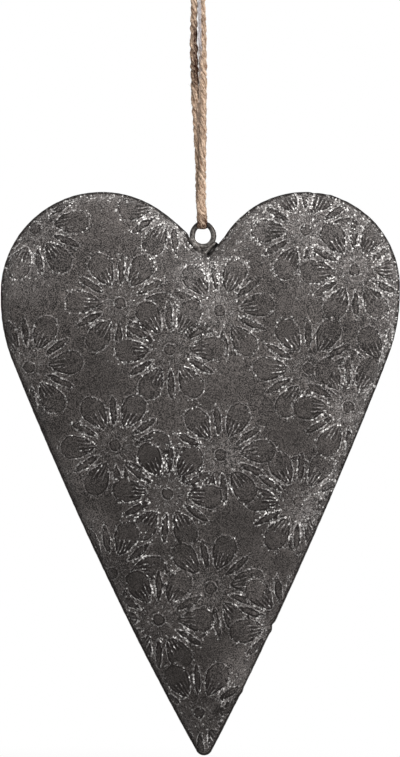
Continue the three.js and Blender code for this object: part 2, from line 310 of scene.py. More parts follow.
HEAVY_PATCHES = [
    (-43, -80, 6, 0.25),
    (-35, -91, 9, 0.18),
    (-26, -117, 9, 0.24),
    (-18, -137, 8, 0.2),
    (-34, -147, 10, 0.22),
    (3, -157, 9, 0.2),
    (21, -109, 8, 0.18),
    (31, -129, 11, 0.28),
    (46, -162, 11, 0.36),
    (34, -171, 8, 0.28),
    (-13, -182, 10, 0.4),
    (33, -194, 7, 0.3),
    (23, -203, 7, 0.2),
    (-31, -200, 7, 0.2),
]
EDGE_WEAR = 0.65
# How much darker the sheet gets towards the lower left.
LOWER_LEFT_DARKENING = 0.63


def hex_colour(code):
    """An sRGB hex colour as linear red, green, blue and alpha."""
    values = np.array([int(code[i : i + 2], 16) / 255 for i in (0, 2, 4)])
    linear = np.where(values <= 0.04045, values / 12.92, ((values + 0.055) / 1.055) ** 2.4)
    return (*linear, 1.0)


# Meshes.


def unit(vectors):
    """The same directions with a length of 1."""
    return vectors / np.linalg.norm(vectors, axis=-1, keepdims=True)


def length_along(points):
    """The length along a polyline from its first point to each."""
    return np.append(0, np.cumsum(np.linalg.norm(np.diff(points, axis=0), axis=1)))


def wrapped_grid(rows, columns, close_rows=False, first=0):
    """Quads between neighbours of a grid of points whose columns join round.

    With close_rows the last row also joins the first."""
    bands = rows if close_rows else rows - 1
    row, column = np.meshgrid(np.arange(bands), np.arange(columns), indexing="ij")
    below = (row + 1) % rows
    right = (column + 1) % columns
    corners = [row * columns + column, row * columns + right]
    corners += [below * columns + right, below * columns + column]
    return np.stack(corners, -1).reshape(-1, 4) + first


def fan(ring, middle):
    """Triangles from each side of a ring of vertex numbers to a middle vertex."""
    return np.stack([ring, np.roll(ring, -1), np.full(len(ring), middle)], -1)


def tube_mesh(rings):
    """Points and faces of a tube with capped ends, through rings shaped (rings, points, 3)."""
    count, sides = rings.shape[:2]
    points = np.concatenate([rings.reshape(-1, 3), rings[:1].mean(1), rings[-1:].mean(1)])
    start = fan(np.arange(sides), count * sides)
    end = fan(np.arange(sides)[::-1] + (count - 1) * sides, count * sides + 1)
    return points, [wrapped_grid(count, sides), start, end]


def ring_sections(path, across, up, width, height, turns):
    """Points of oval sections along a path: path + across·width·cos + up·height·sin."""
    cos, sin = np.cos(turns)[None, :, None], np.sin(turns)[None, :, None]
    side = across[:, None] * (np.asarray(width)[..., None] * cos)
    rise = up[:, None] * (np.asarray(height)[..., None] * sin)
    return path[:, None] + side + rise


def flat_sections(flat, across, width, height, sides):
    """Oval sections along a path in the heart's plane, as high as height towards the viewer."""
    path, across = (np.insert(values, 1, 0, 1) for values in (flat, across))
    up = np.tile([0.0, 1.0, 0.0], (len(path), 1))
    turns = np.linspace(0, 2 * np.pi, sides, endpoint=False)
    return ring_sections(path, across, up, width[:, None], height[:, None], turns)


def signed_volume(points, faces):
    """The volume inside the faces, negative where they point inwards."""
    total = 0
    for group in faces:
        for k in range(1, group.shape[1] - 1):
            a, b, c = (points[group[:, n]] for n in (0, k, k + 1))
            total += np.einsum("ij,ij->i", a, np.cross(b, c)).sum()
    return total / 6


def faced_out(points, faces):
    """The same points and faces, with the faces turned over where they pointed inwards."""
    centred = points - points.mean(0)
    if signed_volume(centred, faces) < 0:
        faces = [group[:, ::-1] for group in faces]
    return points, faces


def closed_tube(rings):
    """Points and faces of a tube whose last ring joins its first."""
    return faced_out(rings.reshape(-1, 3), [wrapped_grid(*rings.shape[:2], close_rows=True)])


def joined(parts):
    """Several lots of points and faces as one."""
    points, faces, first = [], [], 0
    for part_points, part_faces in parts:
        points.append(part_points)
        faces.extend(group + first for group in part_faces)
        first += len(part_points)
    return np.concatenate(points), faces


def placed(name, data):
    """A new object in the scene, at the origin."""
    thing = bpy.data.objects.new(name, data)
    bpy.context.scene.collection.objects.link(thing)
    return thing


def make_piece(name, points, faces, material, fields):
    """A smooth shaded object at the origin from points in millimetres.

    fields are named numbers or vectors per point, kept as attributes for the material."""
    mesh = bpy.data.meshes.new(name)
    sizes = np.concatenate([np.full(len(group), group.shape[1]) for group in faces])
    corners = np.concatenate([group.ravel() for group in faces])
    mesh.vertices.add(len(points))
    mesh.vertices.foreach_set("co", (points * MM).astype(np.float32).ravel())
    mesh.loops.add(len(corners))
    mesh.loops.foreach_set("vertex_index", corners.astype(np.int32))
    mesh.polygons.add(len(sizes))
    starts = np.concatenate([[0], np.cumsum(sizes)[:-1]])
    mesh.polygons.foreach_set("loop_start", starts.astype(np.int32))
    mesh.update(calc_edges=True)
    mesh.validate()
    for field, values in fields.items():
        values = np.asarray(values, np.float32)
        kind, slot = ("FLOAT", "value") if values.ndim == 1 else ("FLOAT_VECTOR", "vector")
        mesh.attributes.new(field, kind, "POINT").data.foreach_set(slot, values.ravel())
    mesh.shade_smooth()
    mesh.materials.append(material)
    return placed(name, mesh)


# The outline and the crown.


def around(centre, radius, degrees):
    """The points at a distance from a centre, in the directions of some angles."""
    angle = np.radians(degrees)
    return np.asarray(centre) + radius * np.stack([np.cos(angle), np.sin(angle)], -1)


def arc(centre, radius, start, end, share):
    """Points at shares of the way along an arc."""
    return around(centre, radius, start + (end - start) * share)


def evenly(points, share):
    """Points at shares of the whole length along a polyline."""
    length = length_along(points)
    wanted = share * length[-1]
    return np.stack([np.interp(wanted, length, points[:, k]) for k in range(points.shape[1])], -1)


def cubic(start, start_handle, end_handle, end, share):
    """Points at shares of the length of a cubic curve with two handles."""
    t = np.linspace(0, 1, 800)[:, None]
    curve = (1 - t) ** 3 * start + 3 * (1 - t) ** 2 * t * start_handle
    curve = curve + 3 * (1 - t) * t**2 * end_handle + t**3 * end
    return evenly(curve, share)


def lobe_middle(start, rise, radius, inner_angle):
    """The middle of a lobe's arc, from where the arc starts and how high it rises."""
    return np.array([start - radius * math.cos(math.radians(inner_angle)), rise - radius])


def heart_outline(fineness):
    """The heart's outline from the notch, counterclockwise, counted from the eye's middle.

    It runs along the inner edge, lobe, shoulder and flank on the left, round the tip, and back
    up on the right, where the inner edge is straight. Each step of the CAD outline is divided
    into fineness steps."""
    notch = np.array(NOTCH)
    tip = np.array(TIP) + (0, TIP_RADIUS)
    left = lobe_middle(*LEFT_LOBE)
    right = lobe_middle(*RIGHT_LOBE)
    left_inner = around(left, LEFT_LOBE_RADIUS, LEFT_LOBE_INNER_ANGLE)
    right_inner = around(right, RIGHT_LOBE_RADIUS, RIGHT_LOBE_INNER_ANGLE)
    ls, rs = LEFT_SHOULDER, RIGHT_SHOULDER
    left_shoulder = left + (ls["radius"] - LEFT_LOBE_RADIUS, -SHOULDER_DROP)
    right_shoulder = right + (RIGHT_LOBE_RADIUS - rs["radius"], -SHOULDER_DROP)
    left_turned = around(left_shoulder, ls["radius"], 180 + ls["turn"])
    right_turned = around(right_shoulder, rs["radius"], -rs["turn"])
    left_tip = around(tip, TIP_RADIUS, 180 + ls["tip_angle"])
    right_tip = around(tip, TIP_RADIUS, -rs["tip_angle"])

    counts = (steps * fineness for steps in OUTLINE_STEPS)
    edge, lobe, bend, flank = (np.arange(count) / count for count in counts)
    left_edge_handles = (
        around(notch, NOTCH_LEAN, 180 - NOTCH_ANGLE),
        around(left_inner, INNER_EDGE_LEAN, LEFT_LOBE_INNER_ANGLE - 90),
    )
    left_flank_handles = (
        around(left_turned, ls["start"], ls["turn"] - 90),
        around(left_tip, ls["end"], 90 + ls["tip_angle"]),
    )
    right_flank_handles = (
        around(right_tip, rs["end"], 90 - rs["tip_angle"]),
        around(right_turned, rs["start"], -90 - rs["turn"]),
    )
    return np.concatenate([
        cubic(notch, *left_edge_handles, left_inner, edge),
        arc(left, LEFT_LOBE_RADIUS, LEFT_LOBE_INNER_ANGLE, 180, lobe),
        arc(left_shoulder, ls["radius"], 180, 180 + ls["turn"], bend),
        cubic(left_turned, *left_flank_handles, left_tip, flank),
        arc(tip, TIP_RADIUS, 180 + ls["tip_angle"], 360 - rs["tip_angle"], bend),
        cubic(right_tip, *right_flank_handles, right_turned, flank),
        arc(right_shoulder, rs["radius"], -rs["turn"], 0, bend),
        arc(right, RIGHT_LOBE_RADIUS, 0, RIGHT_LOBE_INNER_ANGLE, lobe),
        cubic(right_inner, right_inner, notch, notch, edge),
    ])


def inset(outline, distance):
    """A closed outline moved inwards by a distance, each corner along its bisector."""
    arriving = unit(outline - np.roll(outline, 1, 0))
    along = unit(arriving + unit(np.roll(outline, -1, 0) - outline))
    inwards = np.stack([-along[:, 1], along[:, 0]], -1)
    reach = distance / np.maximum((along * arriving).sum(1), CORNER_LIMIT)
    return outline + inwards * reach[:, None]


def softened(outline, rounds):
    """A closed outline with its corners softened, each point drawn to its neighbours' mean."""
    for _ in range(rounds):
        outline = (np.roll(outline, 1, 0) + np.roll(outline, -1, 0)) / 4 + outline / 2
    return outline


def soft_border(corners):
    """Even points round a polygon, with its corners softened."""
    loop = np.append(corners, corners[:1], 0)
    return softened(evenly(loop, np.linspace(0, 1, 72, endpoint=False)), 3)


def closed_spline(points, place):
    """A smooth closed curve through points, at places counted in points from the first.

    Each stretch is the cubic whose slope at a point is half the step between its neighbours."""
    count = len(points)
    whole = np.floor(place).astype(int)
    t = (place - whole)[:, None]
    before, here, after, beyond = (points[(whole + k) % count] for k in (-1, 0, 1, 2))
    slope, next_slope = (after - before) / 2, (beyond - here) / 2
    return (
        (2 * t**3 - 3 * t**2 + 1) * here
        + (t**3 - 2 * t**2 + t) * slope
        + (3 * t**2 - 2 * t**3) * after
        + (t**3 - t**2) * next_slope
    )


def pushed_off_eye(outline):
    """An outline counted from the eye's middle, moved outwards where the eye's seat is cut."""
    distance = np.linalg.norm(outline, axis=1)[:, None]
    over = distance - EYE_REACH
    clear = EYE_REACH + (over + np.sqrt(over**2 + SEAT_ROUNDING**2)) / 2
    return outline * clear / distance


def with_dents(outline):
    """The outline with its small knocks: each a bell of a depth and width about a point."""
    amount = np.zeros(len(outline))
    for side, height, depth, width in EDGE_KNOCKS:
        away = np.linalg.norm(outline + EYE_CENTRE - (side, height), axis=1)
        amount += depth * np.exp(-((away / width) ** 2))
    inner = inset(outline, 1)
    return outline + (inner - outline) * amount[:, None]


def crown_height(share):
    """Height of the pressed crown at a share of the way out, full in the middle."""
    return CROWN_HEIGHT * np.sqrt(np.clip(1 - share**CROWN_FULLNESS, 0, 1))


class Dish:
    """The level lines of the crown over one foot line.

    The line at a share s is the foot drawn towards its softened version by 1 - s, then
    scaled by s towards the crown's middle."""

    def __init__(self, distance):
        fine = heart_outline(FINENESS)
        plain = inset(inset(fine[::FINENESS], SEAM_PROUD), distance)
        length = length_along(fine)
        total = length[-1] + np.linalg.norm(fine[0] - fine[-1])
        wanted = np.arange(AROUND) / AROUND * total
        place = np.interp(wanted, length, np.arange(len(fine)))
        whole = np.floor(place).astype(int)
        part = (place - whole)[:, None]
        even = fine[whole] * (1 - part) + fine[(whole + 1) % len(fine)] * part
        even = with_dents(pushed_off_eye(even))
        self.edge = inset(even, SEAM_PROUD)
        self.foot = inset(self.edge, distance)
        self.soft = closed_spline(softened(plain, CROWN_SOFTENING), place / FINENESS)

    def line(self, share):
        level = self.foot + (self.soft - self.foot) * (1 - share)
        return CROWN_MIDDLE + (level - CROWN_MIDDLE) * share

    def shares(self, points):
        """The share at which each point lies, read from where the lines cross its direction."""
        steps = np.linspace(0, 1, 61)
        away = points - CROWN_MIDDLE
        angle = np.arctan2(away[:, 1], away[:, 0])
        reach = np.linalg.norm(away, axis=1)
        table = np.zeros((len(steps), len(points)))
        for k, share in enumerate(steps[1:], 1):
            line = self.line(share) - CROWN_MIDDLE
            line_angle = np.arctan2(line[:, 1], line[:, 0])
            line_reach = np.linalg.norm(line, axis=1)
            order = np.argsort(line_angle)
            table[k] = np.interp(angle, line_angle[order], line_reach[order], period=2 * np.pi)
        above = np.clip((table < reach).sum(0), 1, len(steps) - 1)
        column = np.arange(len(points))
        low, high = table[above - 1, column], table[above, column]
        part = np.clip((reach - low) / (high - low), 0, 1)
        return steps[above - 1] + part * (steps[1] - steps[0])


def patch_inside(ring):
    """A square grid of points that fills a closed ring.

    The ring's four quarters are the square's sides, and a point inside is the blend of the two
    pairs of opposite sides, less the blend of the four corners. The first point of the ring
    is in the middle of the top side."""
    n = len(ring) // 4
    turned = np.roll(ring, n // 2, 0)
    top = turned[0 : n + 1]
    left = turned[n : 2 * n + 1]
    bottom = turned[2 * n : 3 * n + 1][::-1]
    right = np.append(turned[3 * n :], turned[:1], 0)[::-1]
    u = np.linspace(0, 1, n + 1)[None, :, None]
    v = np.linspace(0, 1, n + 1)[:, None, None]
    sides = (1 - v) * top[None] + v * bottom[None] + (1 - u) * right[:, None] + u * left[:, None]
    corners = (1 - u) * (1 - v) * top[0] + u * (1 - v) * top[-1]
    corners = corners + (1 - u) * v * bottom[0] + u * v * bottom[-1]
    return sides - corners


# The daisies.


def petal_edge(petal):
    """Points along half of a petal's edge, from its inner tip to its outer end.

    At a share q of its length a petal is as wide as q^a · (1 - q)^b, over the most that
    this reaches, times its half width. a and b are how blunt the ends are."""
    start, end, half_width, a, b = petal
    q = (1 - np.cos(np.linspace(0, np.pi, 41))) / 2
    most = (a / (a + b)) ** a * (b / (a + b)) ** b
    return start + q * (end - start), half_width * q**a * (1 - q) ** b / most


def petal_distance(along, across, petal):
    """Signed distance to a petal's edge, negative inside. across is 0 or more."""
    edge_along, edge_across = petal_edge(petal)
    first = np.stack([edge_along, edge_across], -1)[:-1]
    way = np.diff(np.stack([edge_along, edge_across], -1), axis=0)
    away_along = along[:, None] - first[:, 0]
    away_across = across[:, None] - first[:, 1]
    t = (away_along * way[:, 0] + away_across * way[:, 1]) / (way**2).sum(1)
    t = np.clip(t, 0, 1)
    distance = np.hypot(away_along - t * way[:, 0], away_across - t * way[:, 1]).min(1)
    inside = across < np.interp(along, edge_along, edge_across, left=-1, right=-1)
    return np.where(inside, -distance, distance)


def segment_distance(along, across, start, end):
    """Distance to a straight stroke between two points."""
    start, end = np.array(start), np.array(end)
    way = end - start
    t = ((along - start[0]) * way[0] + (across - start[1]) * way[1]) / (way @ way)
    t = np.clip(t, 0, 1)
    return np.hypot(along - start[0] - t * way[0], across - start[1] - t * way[1])


def daisy_distances(points, daisy):
    """Signed distance to one daisy's outlines, distance to its strokes, and each point's place
    across and up from its middle, with the daisy turned upright."""
    away = points - daisy[:2]
    reach = np.hypot(away[:, 0], away[:, 1])
    angle = np.degrees(np.arctan2(away[:, 1], away[:, 0])) - daisy[2]
    wide = np.radians((angle + 30) % 60 - 30)
    narrow = np.radians(angle % 60 - 30)
    along, across = reach * np.cos(wide), np.abs(reach * np.sin(wide))
    outline = petal_distance(along, across, WIDE_PETAL)
    slim = petal_distance(reach * np.cos(narrow), np.abs(reach * np.sin(narrow)), NARROW_PETAL)
    outline = np.minimum(np.minimum(outline, slim), reach - DAISY_MIDDLE)
    stroke = np.min([segment_distance(along, across, *ends) for ends in STROKES], axis=0)
    upright = around((0, 0), 1, angle) * reach[:, None]
    return outline, stroke - STROKE_WIDTH, upright


def pressed_pattern(points, daisies):
    """Distances to all outlines and strokes, and each point's place across and up on its daisy.

    A later daisy covers what lies under it. The place's third number is ten times the daisy's
    own number, or 0 off all of them, so that the material can tell where two daisies meet."""
    outline = np.full(len(points), FAR_FROM_LINES)
    stroke = outline.copy()
    burst = np.tile([DAISY_REACH, 0, 0], (len(points), 1))
    for number, daisy in enumerate(daisies, 1):
        near = np.linalg.norm(points - daisy[:2], axis=1) < DAISY_REACH
        mine, my_stroke, upright = daisy_distances(points[near], daisy)
        reach = np.linalg.norm(upright, axis=1)
        covered = (mine < 0) | (reach < DAISY_HUB)
        nearer = np.abs(mine) < np.abs(outline[near])
        outline[near] = np.where(covered | nearer, mine, outline[near])
        stroke[near] = np.where(covered, my_stroke, np.minimum(stroke[near], my_stroke))
        closer = reach < np.linalg.norm(burst[near, :2], axis=1)
        my_burst = np.append(upright, np.full((len(reach), 1), 10.0 * number), 1)
        burst[near] = np.where((covered | closer)[:, None], my_burst, burst[near])
    return np.clip(outline, -FAR_FROM_LINES, FAR_FROM_LINES), stroke, burst


def smooth_step(low, high, value):
    """0 below low, 1 above high, and a smooth rise between."""
    t = np.clip((value - low) / (high - low), 0, 1)
    return t * t * (3 - 2 * t)


def relief(outline, stroke):
    """Height of the pressed pattern: petals a little proud with a rim, and a rib per stroke.

    A petal rises over the 1.1 mm round its edge, its rim is a bell 0.4 mm wide to each side, and
    a rib rises over 1 mm."""
    petal = PETAL_RISE * smooth_step(0.2, -0.9, outline)
    rim = RIM_RISE * np.exp(-((outline / 0.4) ** 2))
    rib = STROKE_RISE * smooth_step(0.8, -0.2, stroke)
    return petal + rim + rib


def paleness(points, rim):
    """How far the patina is rubbed off, below 0 where it is darker than elsewhere.

    It is the most of a bell about each worn patch and two bands along the edge, most at the top
    and on the right, less a bell about each heavy patch and a darkening that grows from the upper
    right to the lower left."""
    worn = 0.4 + 0.6 * smooth_step(-160, -95, points @ np.array([0.5, 1.0]))
    bands = np.exp(-((rim / 6.0) ** 2)) + 0.6 * np.exp(-(((rim - 1.6) / 1.5) ** 2))
    pale = EDGE_WEAR * worn * bands
    for side, height, reach, strength in PALE_PATCHES:
        away = np.linalg.norm(points - (side, height), axis=1)
        pale = np.maximum(pale, strength * np.exp(-((away / reach) ** 2)))
    for side, height, reach, strength in HEAVY_PATCHES:
        away = np.linalg.norm(points - (side, height), axis=1)
        pale = pale - strength * np.exp(-((away / reach) ** 2))
    # Darker towards the lower left.
    slope = points @ np.array([0.55, 1.0])
    return pale - LOWER_LEFT_DARKENING * smooth_step(-95, -270, slope)


def hammered(points, seed, size):
    """Gentle uneven heights between -1 and 1: a sum of waves in random directions."""
    draw = np.random.default_rng(seed)
    total = np.zeros(len(points))
    for _ in range(9):
        angle, phase = draw.uniform(0, 2 * np.pi, 2)
        rate = 2 * np.pi / (size * draw.uniform(0.7, 1.8))
        total += np.sin(rate * (points @ (math.cos(angle), math.sin(angle))) + phase)
    return total / 5


def shell(name, side, daisies, material, seed):
    """One pressed dish as a closed sheet: outer face with daisies, lip, and inner face.

    side is -1 for the front and 1 for the back. The outer face is uneven, with dents about 24
    and 6 mm across."""
    face = SEAM / 2
    n = AROUND // 4
    outer, inner = Dish(LIP), Dish(LIP + SHEET)
    patch = patch_inside(outer.line(BAND_START)).reshape(-1, 2)
    band_shares = (1 - (1 - BAND_START) * np.linspace(1, 0, BAND_RINGS + 1) ** 1.7)[1:]
    flat = np.concatenate([patch, *[outer.line(share) for share in band_shares]])
    share = np.concatenate([outer.shares(patch), np.repeat(band_shares, AROUND)])
    reach = np.linalg.norm(flat - CROWN_MIDDLE, axis=1)
    rim = LIP + (1 - share) / np.maximum(share, 0.01) * reach
    spots = flat + EYE_CENTRE
    outline, stroke, burst = pressed_pattern(spots, daisies)
    uneven = 0.1 * hammered(spots, seed, 24) + 0.03 * hammered(spots, seed + 1, 6)
    raised = (relief(outline, stroke) + uneven) * smooth_step(LIP, LIP + 1.2, rim)
    height = face + SHEET + crown_height(share) + raised

    # The rest of the sheet: round the lip and back along the inner face to its middle. Each row
    # is a line, its height and its distance from the rim.
    edge = outer.edge
    lip = [
        (inset(edge, 0.12), face + SHEET, 0.2),
        (edge, face + SHEET - 0.12, 0),
        (edge, face + 0.1, 0),
        (inset(edge, 0.1), face, 0),
    ]
    lip += [(inner.line(s), face + float(crown_height(s)), LIP) for s in INNER_SHARES]
    rest = AROUND * len(lip) + 1
    lines, heights, rims = zip(*lip)
    flat = np.concatenate([flat, *lines, [CROWN_MIDDLE]])
    height = np.concatenate([height, np.repeat(heights, AROUND), [face + CROWN_HEIGHT]])
    rim = np.concatenate([rim, np.repeat(rims, AROUND), [LIP]])
    far = np.full(rest, FAR_FROM_LINES)
    outline, stroke = np.append(outline, far), np.append(stroke, far)
    burst = np.concatenate([burst, np.tile([DAISY_REACH, 0, 0], (rest, 1))])
    flat = flat + EYE_CENTRE
    points = np.stack([flat[:, 0], side * height, flat[:, 1]], -1)

    # Faces: the patch, its join to the first ring, the rings, and the fan in the middle.
    row, column = np.meshgrid(np.arange(n), np.arange(n), indexing="ij")
    corner = (row * (n + 1) + column).ravel()
    patch_faces = np.stack([corner, corner + n + 1, corner + n + 2, corner + 1], -1)
    forth, back = np.arange(n), np.arange(n, 0, -1)
    border = np.concatenate([forth, forth * (n + 1) + n, n * (n + 1) + back, back * (n + 1)])
    border = np.roll(border, -(n // 2))
    rings = BAND_RINGS + len(lip)
    first = len(patch)
    ring = np.arange(AROUND) + first
    join = np.stack([border, np.roll(border, -1), np.roll(ring, -1), ring], -1)
    bands = wrapped_grid(rings, AROUND, first=first)
    last = np.arange(AROUND) + first + (rings - 1) * AROUND
    faces = [patch_faces, join, bands, fan(last, len(points) - 1)]
    points, faces = faced_out(points, faces)
    fields = {"outline": outline, "stroke": stroke, "burst": burst, "rim": rim}
    fields["pale"] = paleness(flat, rim)
    return make_piece(name, points, faces, material, fields)


def seam_bead(material):
    """The solder between the lips: an oval bead of uneven thickness all along the outline.

    It is sooty, and on the upper right painted shade darkens it further, on the side the key lamp
    lights."""
    line = Dish(LIP).edge
    ahead = unit(np.roll(line, -1, 0) - np.roll(line, 1, 0))
    out = np.stack([ahead[:, 1], -ahead[:, 0]], -1)
    place = line + EYE_CENTRE
    lumps = 1 + 0.16 * hammered(place, 5, 3) + 0.1 * hammered(place, 6, 9)
    rings = flat_sections(place, out, BEAD_WIDTH * lumps, BEAD_HEIGHT * lumps, 12)
    points, faces = closed_tube(rings)
    # Soot all round, with painted shade added on the upper right, where the key lamp lights the
    # outline.
    soot_and_painted_shade = 0.6 + 0.35 * smooth_step(-200, -90, points[:, 2] + 0.9 * points[:, 0])
    return make_piece("seam_bead", points, faces, material, {"soot_and_painted_shade": soot_and_painted_shade})


def eye_wire(material):
    """The closed ring of wire: a round section about an oval that is taller above its middle.

    It has painted shade at the top, black where the twine bears on it and shades it."""
    angle = np.linspace(0, 2 * np.pi, 180, endpoint=False)
    radius = EYE_HOLE_RADIUS + WIRE_RADIUS
    tall = np.where(np.sin(angle) > 0, EYE_HOLE_RISE + WIRE_RADIUS, radius)
    oval = np.stack([radius * np.cos(angle), tall * np.sin(angle)], -1)
    across = unit(np.stack([tall * np.cos(angle), radius * np.sin(angle)], -1))
    uneven = 1.06 + 0.02 * np.sin(3 * angle + 1) + 0.015 * np.sin(7 * angle)
    points, faces = closed_tube(flat_sections(oval + EYE_CENTRE, across, uneven, uneven, 28))
    # Painted shade: black at the top of the eye, under the twine.
    twine_shadow = smooth_step(WIRE_TOP[2] - 3.4, WIRE_TOP[2] - 0.6, points[:, 2])
    return make_piece("eye_wire", points, faces, material, {"twine_shadow": twine_shadow})


def pillow(border, middle, thickness, seed):
    """A closed lumpy pad: both faces rise from a border of points, as the root of 1 - share⁴."""
    shares = np.array([1, 0.97, 0.9, 0.78, 0.6, 0.4, 0.2])[:, None]
    flat = middle + (border - middle) * shares[..., None] + EYE_CENTRE
    lumps = 1 + 0.25 * hammered(flat.reshape(-1, 2), seed, 2.2).reshape(flat.shape[:2])
    rise = thickness * np.sqrt(1 - shares**4) * lumps
    near, far = (np.stack([flat[..., 0], side * rise, flat[..., 1]], -1) for side in (-1, 1))
    return faced_out(*tube_mesh(np.concatenate([near[::-1], far[1:]])))


def eye_solder_piece(material):
    """The tongue of solder under the eye, open to the right lobe by a slit with a near-black web in
    it as painted shade, and the fillet that holds the eye's lower left to the sheet.

    The web is painted black as shade, a little less in its middle, and a spot in the tongue is
    black too."""
    notch = np.array(NOTCH)
    right_inner = around(lobe_middle(*RIGHT_LOBE), RIGHT_LOBE_RADIUS, RIGHT_LOBE_INNER_ANGLE)
    up_right = unit(right_inner - notch)
    from_right = np.array([-up_right[1], up_right[0]])
    foot = notch + SLIT_WIDTH * from_right + 0.25 * up_right
    shoulder = foot + up_right * TONGUE_LENGTH
    turn = math.degrees(math.atan2(shoulder[1], shoulder[0]))
    under_eye = around((0, 0), EYE_REACH - SOLDER_OVERLAP, np.linspace(turn - 3, turn - 84, 30))
    border = soft_border(np.concatenate([under_eye, TONGUE_LEFT_EDGE, [foot, shoulder]]))
    tongue = pillow(border, np.array(TONGUE_MIDDLE), TONGUE_THICKNESS / 2, 21)
    # The web is a near-black sheet of painted shade in the slit, and its edges reach into the
    # solder and over the right lobe's lip.
    slit = np.array([foot, shoulder, shoulder, foot])
    slit[:2] += from_right * 0.6
    slit[2:] -= from_right * (SLIT_WIDTH + 0.3)
    slit[[0, 3]] -= up_right * 0.8
    border = soft_border(slit)
    shade_web = pillow(border, border.mean(0), SHADE_WEB_THICKNESS / 2, 22)

    # The fillet is an oval bead under the eye that thins out at both ends.
    flat = around((0, 0), EYE_REACH - SOLDER_OVERLAP, np.linspace(*FILLET_TURN, 40))
    fade = np.sqrt(np.clip(1 - np.linspace(-1, 1, 40) ** 4, 0.02, 1))
    lumps = fade * (1 + 0.2 * hammered(flat + EYE_CENTRE, 31, 2))
    rings = flat_sections(flat + EYE_CENTRE, unit(flat), 1.2 * lumps, 1.25 * lumps, 14)
    fillet = faced_out(*tube_mesh(rings))
    points, faces = joined([tongue, shade_web, fillet])
    # Painted shade on the web: near black, a little less in its middle.
    up_slit = ((shade_web[0][:, [0, 2]] - EYE_CENTRE - foot) @ up_right) / TONGUE_LENGTH
    shade_on_web = 1 - 0.35 * np.exp(-(((up_slit - 0.42) / 0.16) ** 2))
    soot_and_painted_shade = np.concatenate([np.zeros(len(tongue[0])), shade_on_web, np.zeros(len(fillet[0]))])
    # A black spot in the tongue under the eye.
    away = (points[:, [0, 2]] - EYE_CENTRE - BLACK_SPOT) / BLACK_SPOT_SIZE
    soot_and_painted_shade = np.maximum(soot_and_painted_shade, np.exp(-(away**2).sum(1)))
    return make_piece("eye_solder_joint", points, faces, material, {"soot_and_painted_shade": soot_and_painted_shade})


# The twine.


def open_spline(points, spacing):
    """A smooth open curve through points, in steps of about a spacing."""
    points = np.asarray(points, float)
    loop = np.array([2 * points[0] - points[1], *points, 2 * points[-1] - points[-2]])
    place = np.append(np.arange(1, len(points), 0.02), len(points) - 1e-9)
    curve = closed_spline(loop, place)
    return evenly(curve, np.linspace(0, 1, int(length_along(curve)[-1] / spacing) + 1))


def leg_points(side):
    """The middle line of one leg, from inside the knot to the turn under the wire.

    side is 1 for the leg at the front of the eye and on the right at the knot."""
    points = [(side * LEG_START[0], 0, -LEG_START[1])]
    for drop, half, turned in TWINE_ROUTE:
        share = drop / -WIRE_TOP[2]
        lean = EYE_SIDE * share - TWINE_BOW * math.sin(math.pi * share)
        lean += (BIGHT_SIDE - EYE_SIDE) * float(smooth_step(*SIDE_DROPS, drop))
        angle = math.radians(turned)
        points.append((lean + side * half * math.sin(angle), -side * half * math.cos(angle), -drop))
    for above, away in ABOVE_WIRE:
        points.append((BIGHT_SIDE, -side * away, WIRE_TOP[2] + above))
    return points


def whole_twine():
    """The middle line of the doubled twine: down the right leg, under the wire, up the left."""
    bend = []
    for angle in np.radians([-60, -30, 0, 30, 60]):
        away = BIGHT_HUG * np.array([0, math.sin(angle), -math.cos(angle)])
        bend.append(WIRE_TOP + (BIGHT_SIDE - EYE_SIDE, 0, 0) + away)
    points = leg_points(1) + bend + leg_points(-1)[::-1]
    return open_spline(points, TWINE_STEP)


def path_frame(path):
    """Two directions square to a path at each point: the one nearest to +X, and the third."""
    ahead = unit(np.gradient(path, axis=0))
    across = unit(np.array([1.0, 0, 0]) - ahead * ahead[:, :1])
    return across, np.cross(ahead, across)


def three_plies(turned, along):
    """How far a three-ply section reaches at angles turned with the lay, over the most that it
    does, and how deep each is in the crevice between two plies, from 0 to 1.

    The section is the outer edge of three circles, and each ply swells a little in its turn."""
    folded = (turned + np.pi / 3) % (2 * np.pi / 3) - np.pi / 3
    ply = np.floor((turned + np.pi / 3) / (2 * np.pi / 3)) % 3
    reach = PLY_OFFSET * np.cos(folded)
    reach = reach + np.sqrt(PLY_RADIUS**2 - (PLY_OFFSET * np.sin(folded)) ** 2)
    swell = 1 + 0.04 * np.sin(0.9 * along[:, None] + 2.1 * ply)
    crevice = smooth_step(0.4, 1.0, np.abs(folded) / (np.pi / 3))
    return reach / (PLY_OFFSET + PLY_RADIUS) * swell, crevice


def place_in_lay(reach, inner, along):
    """What the jute's streaks follow: a point's place across the twine, turned with the lay, and
    a little of its place along it."""
    slow = np.broadcast_to(LAY_DRIFT * along[:, None], reach.shape)
    return np.stack([reach * np.cos(inner), reach * np.sin(inner), slow], -1)


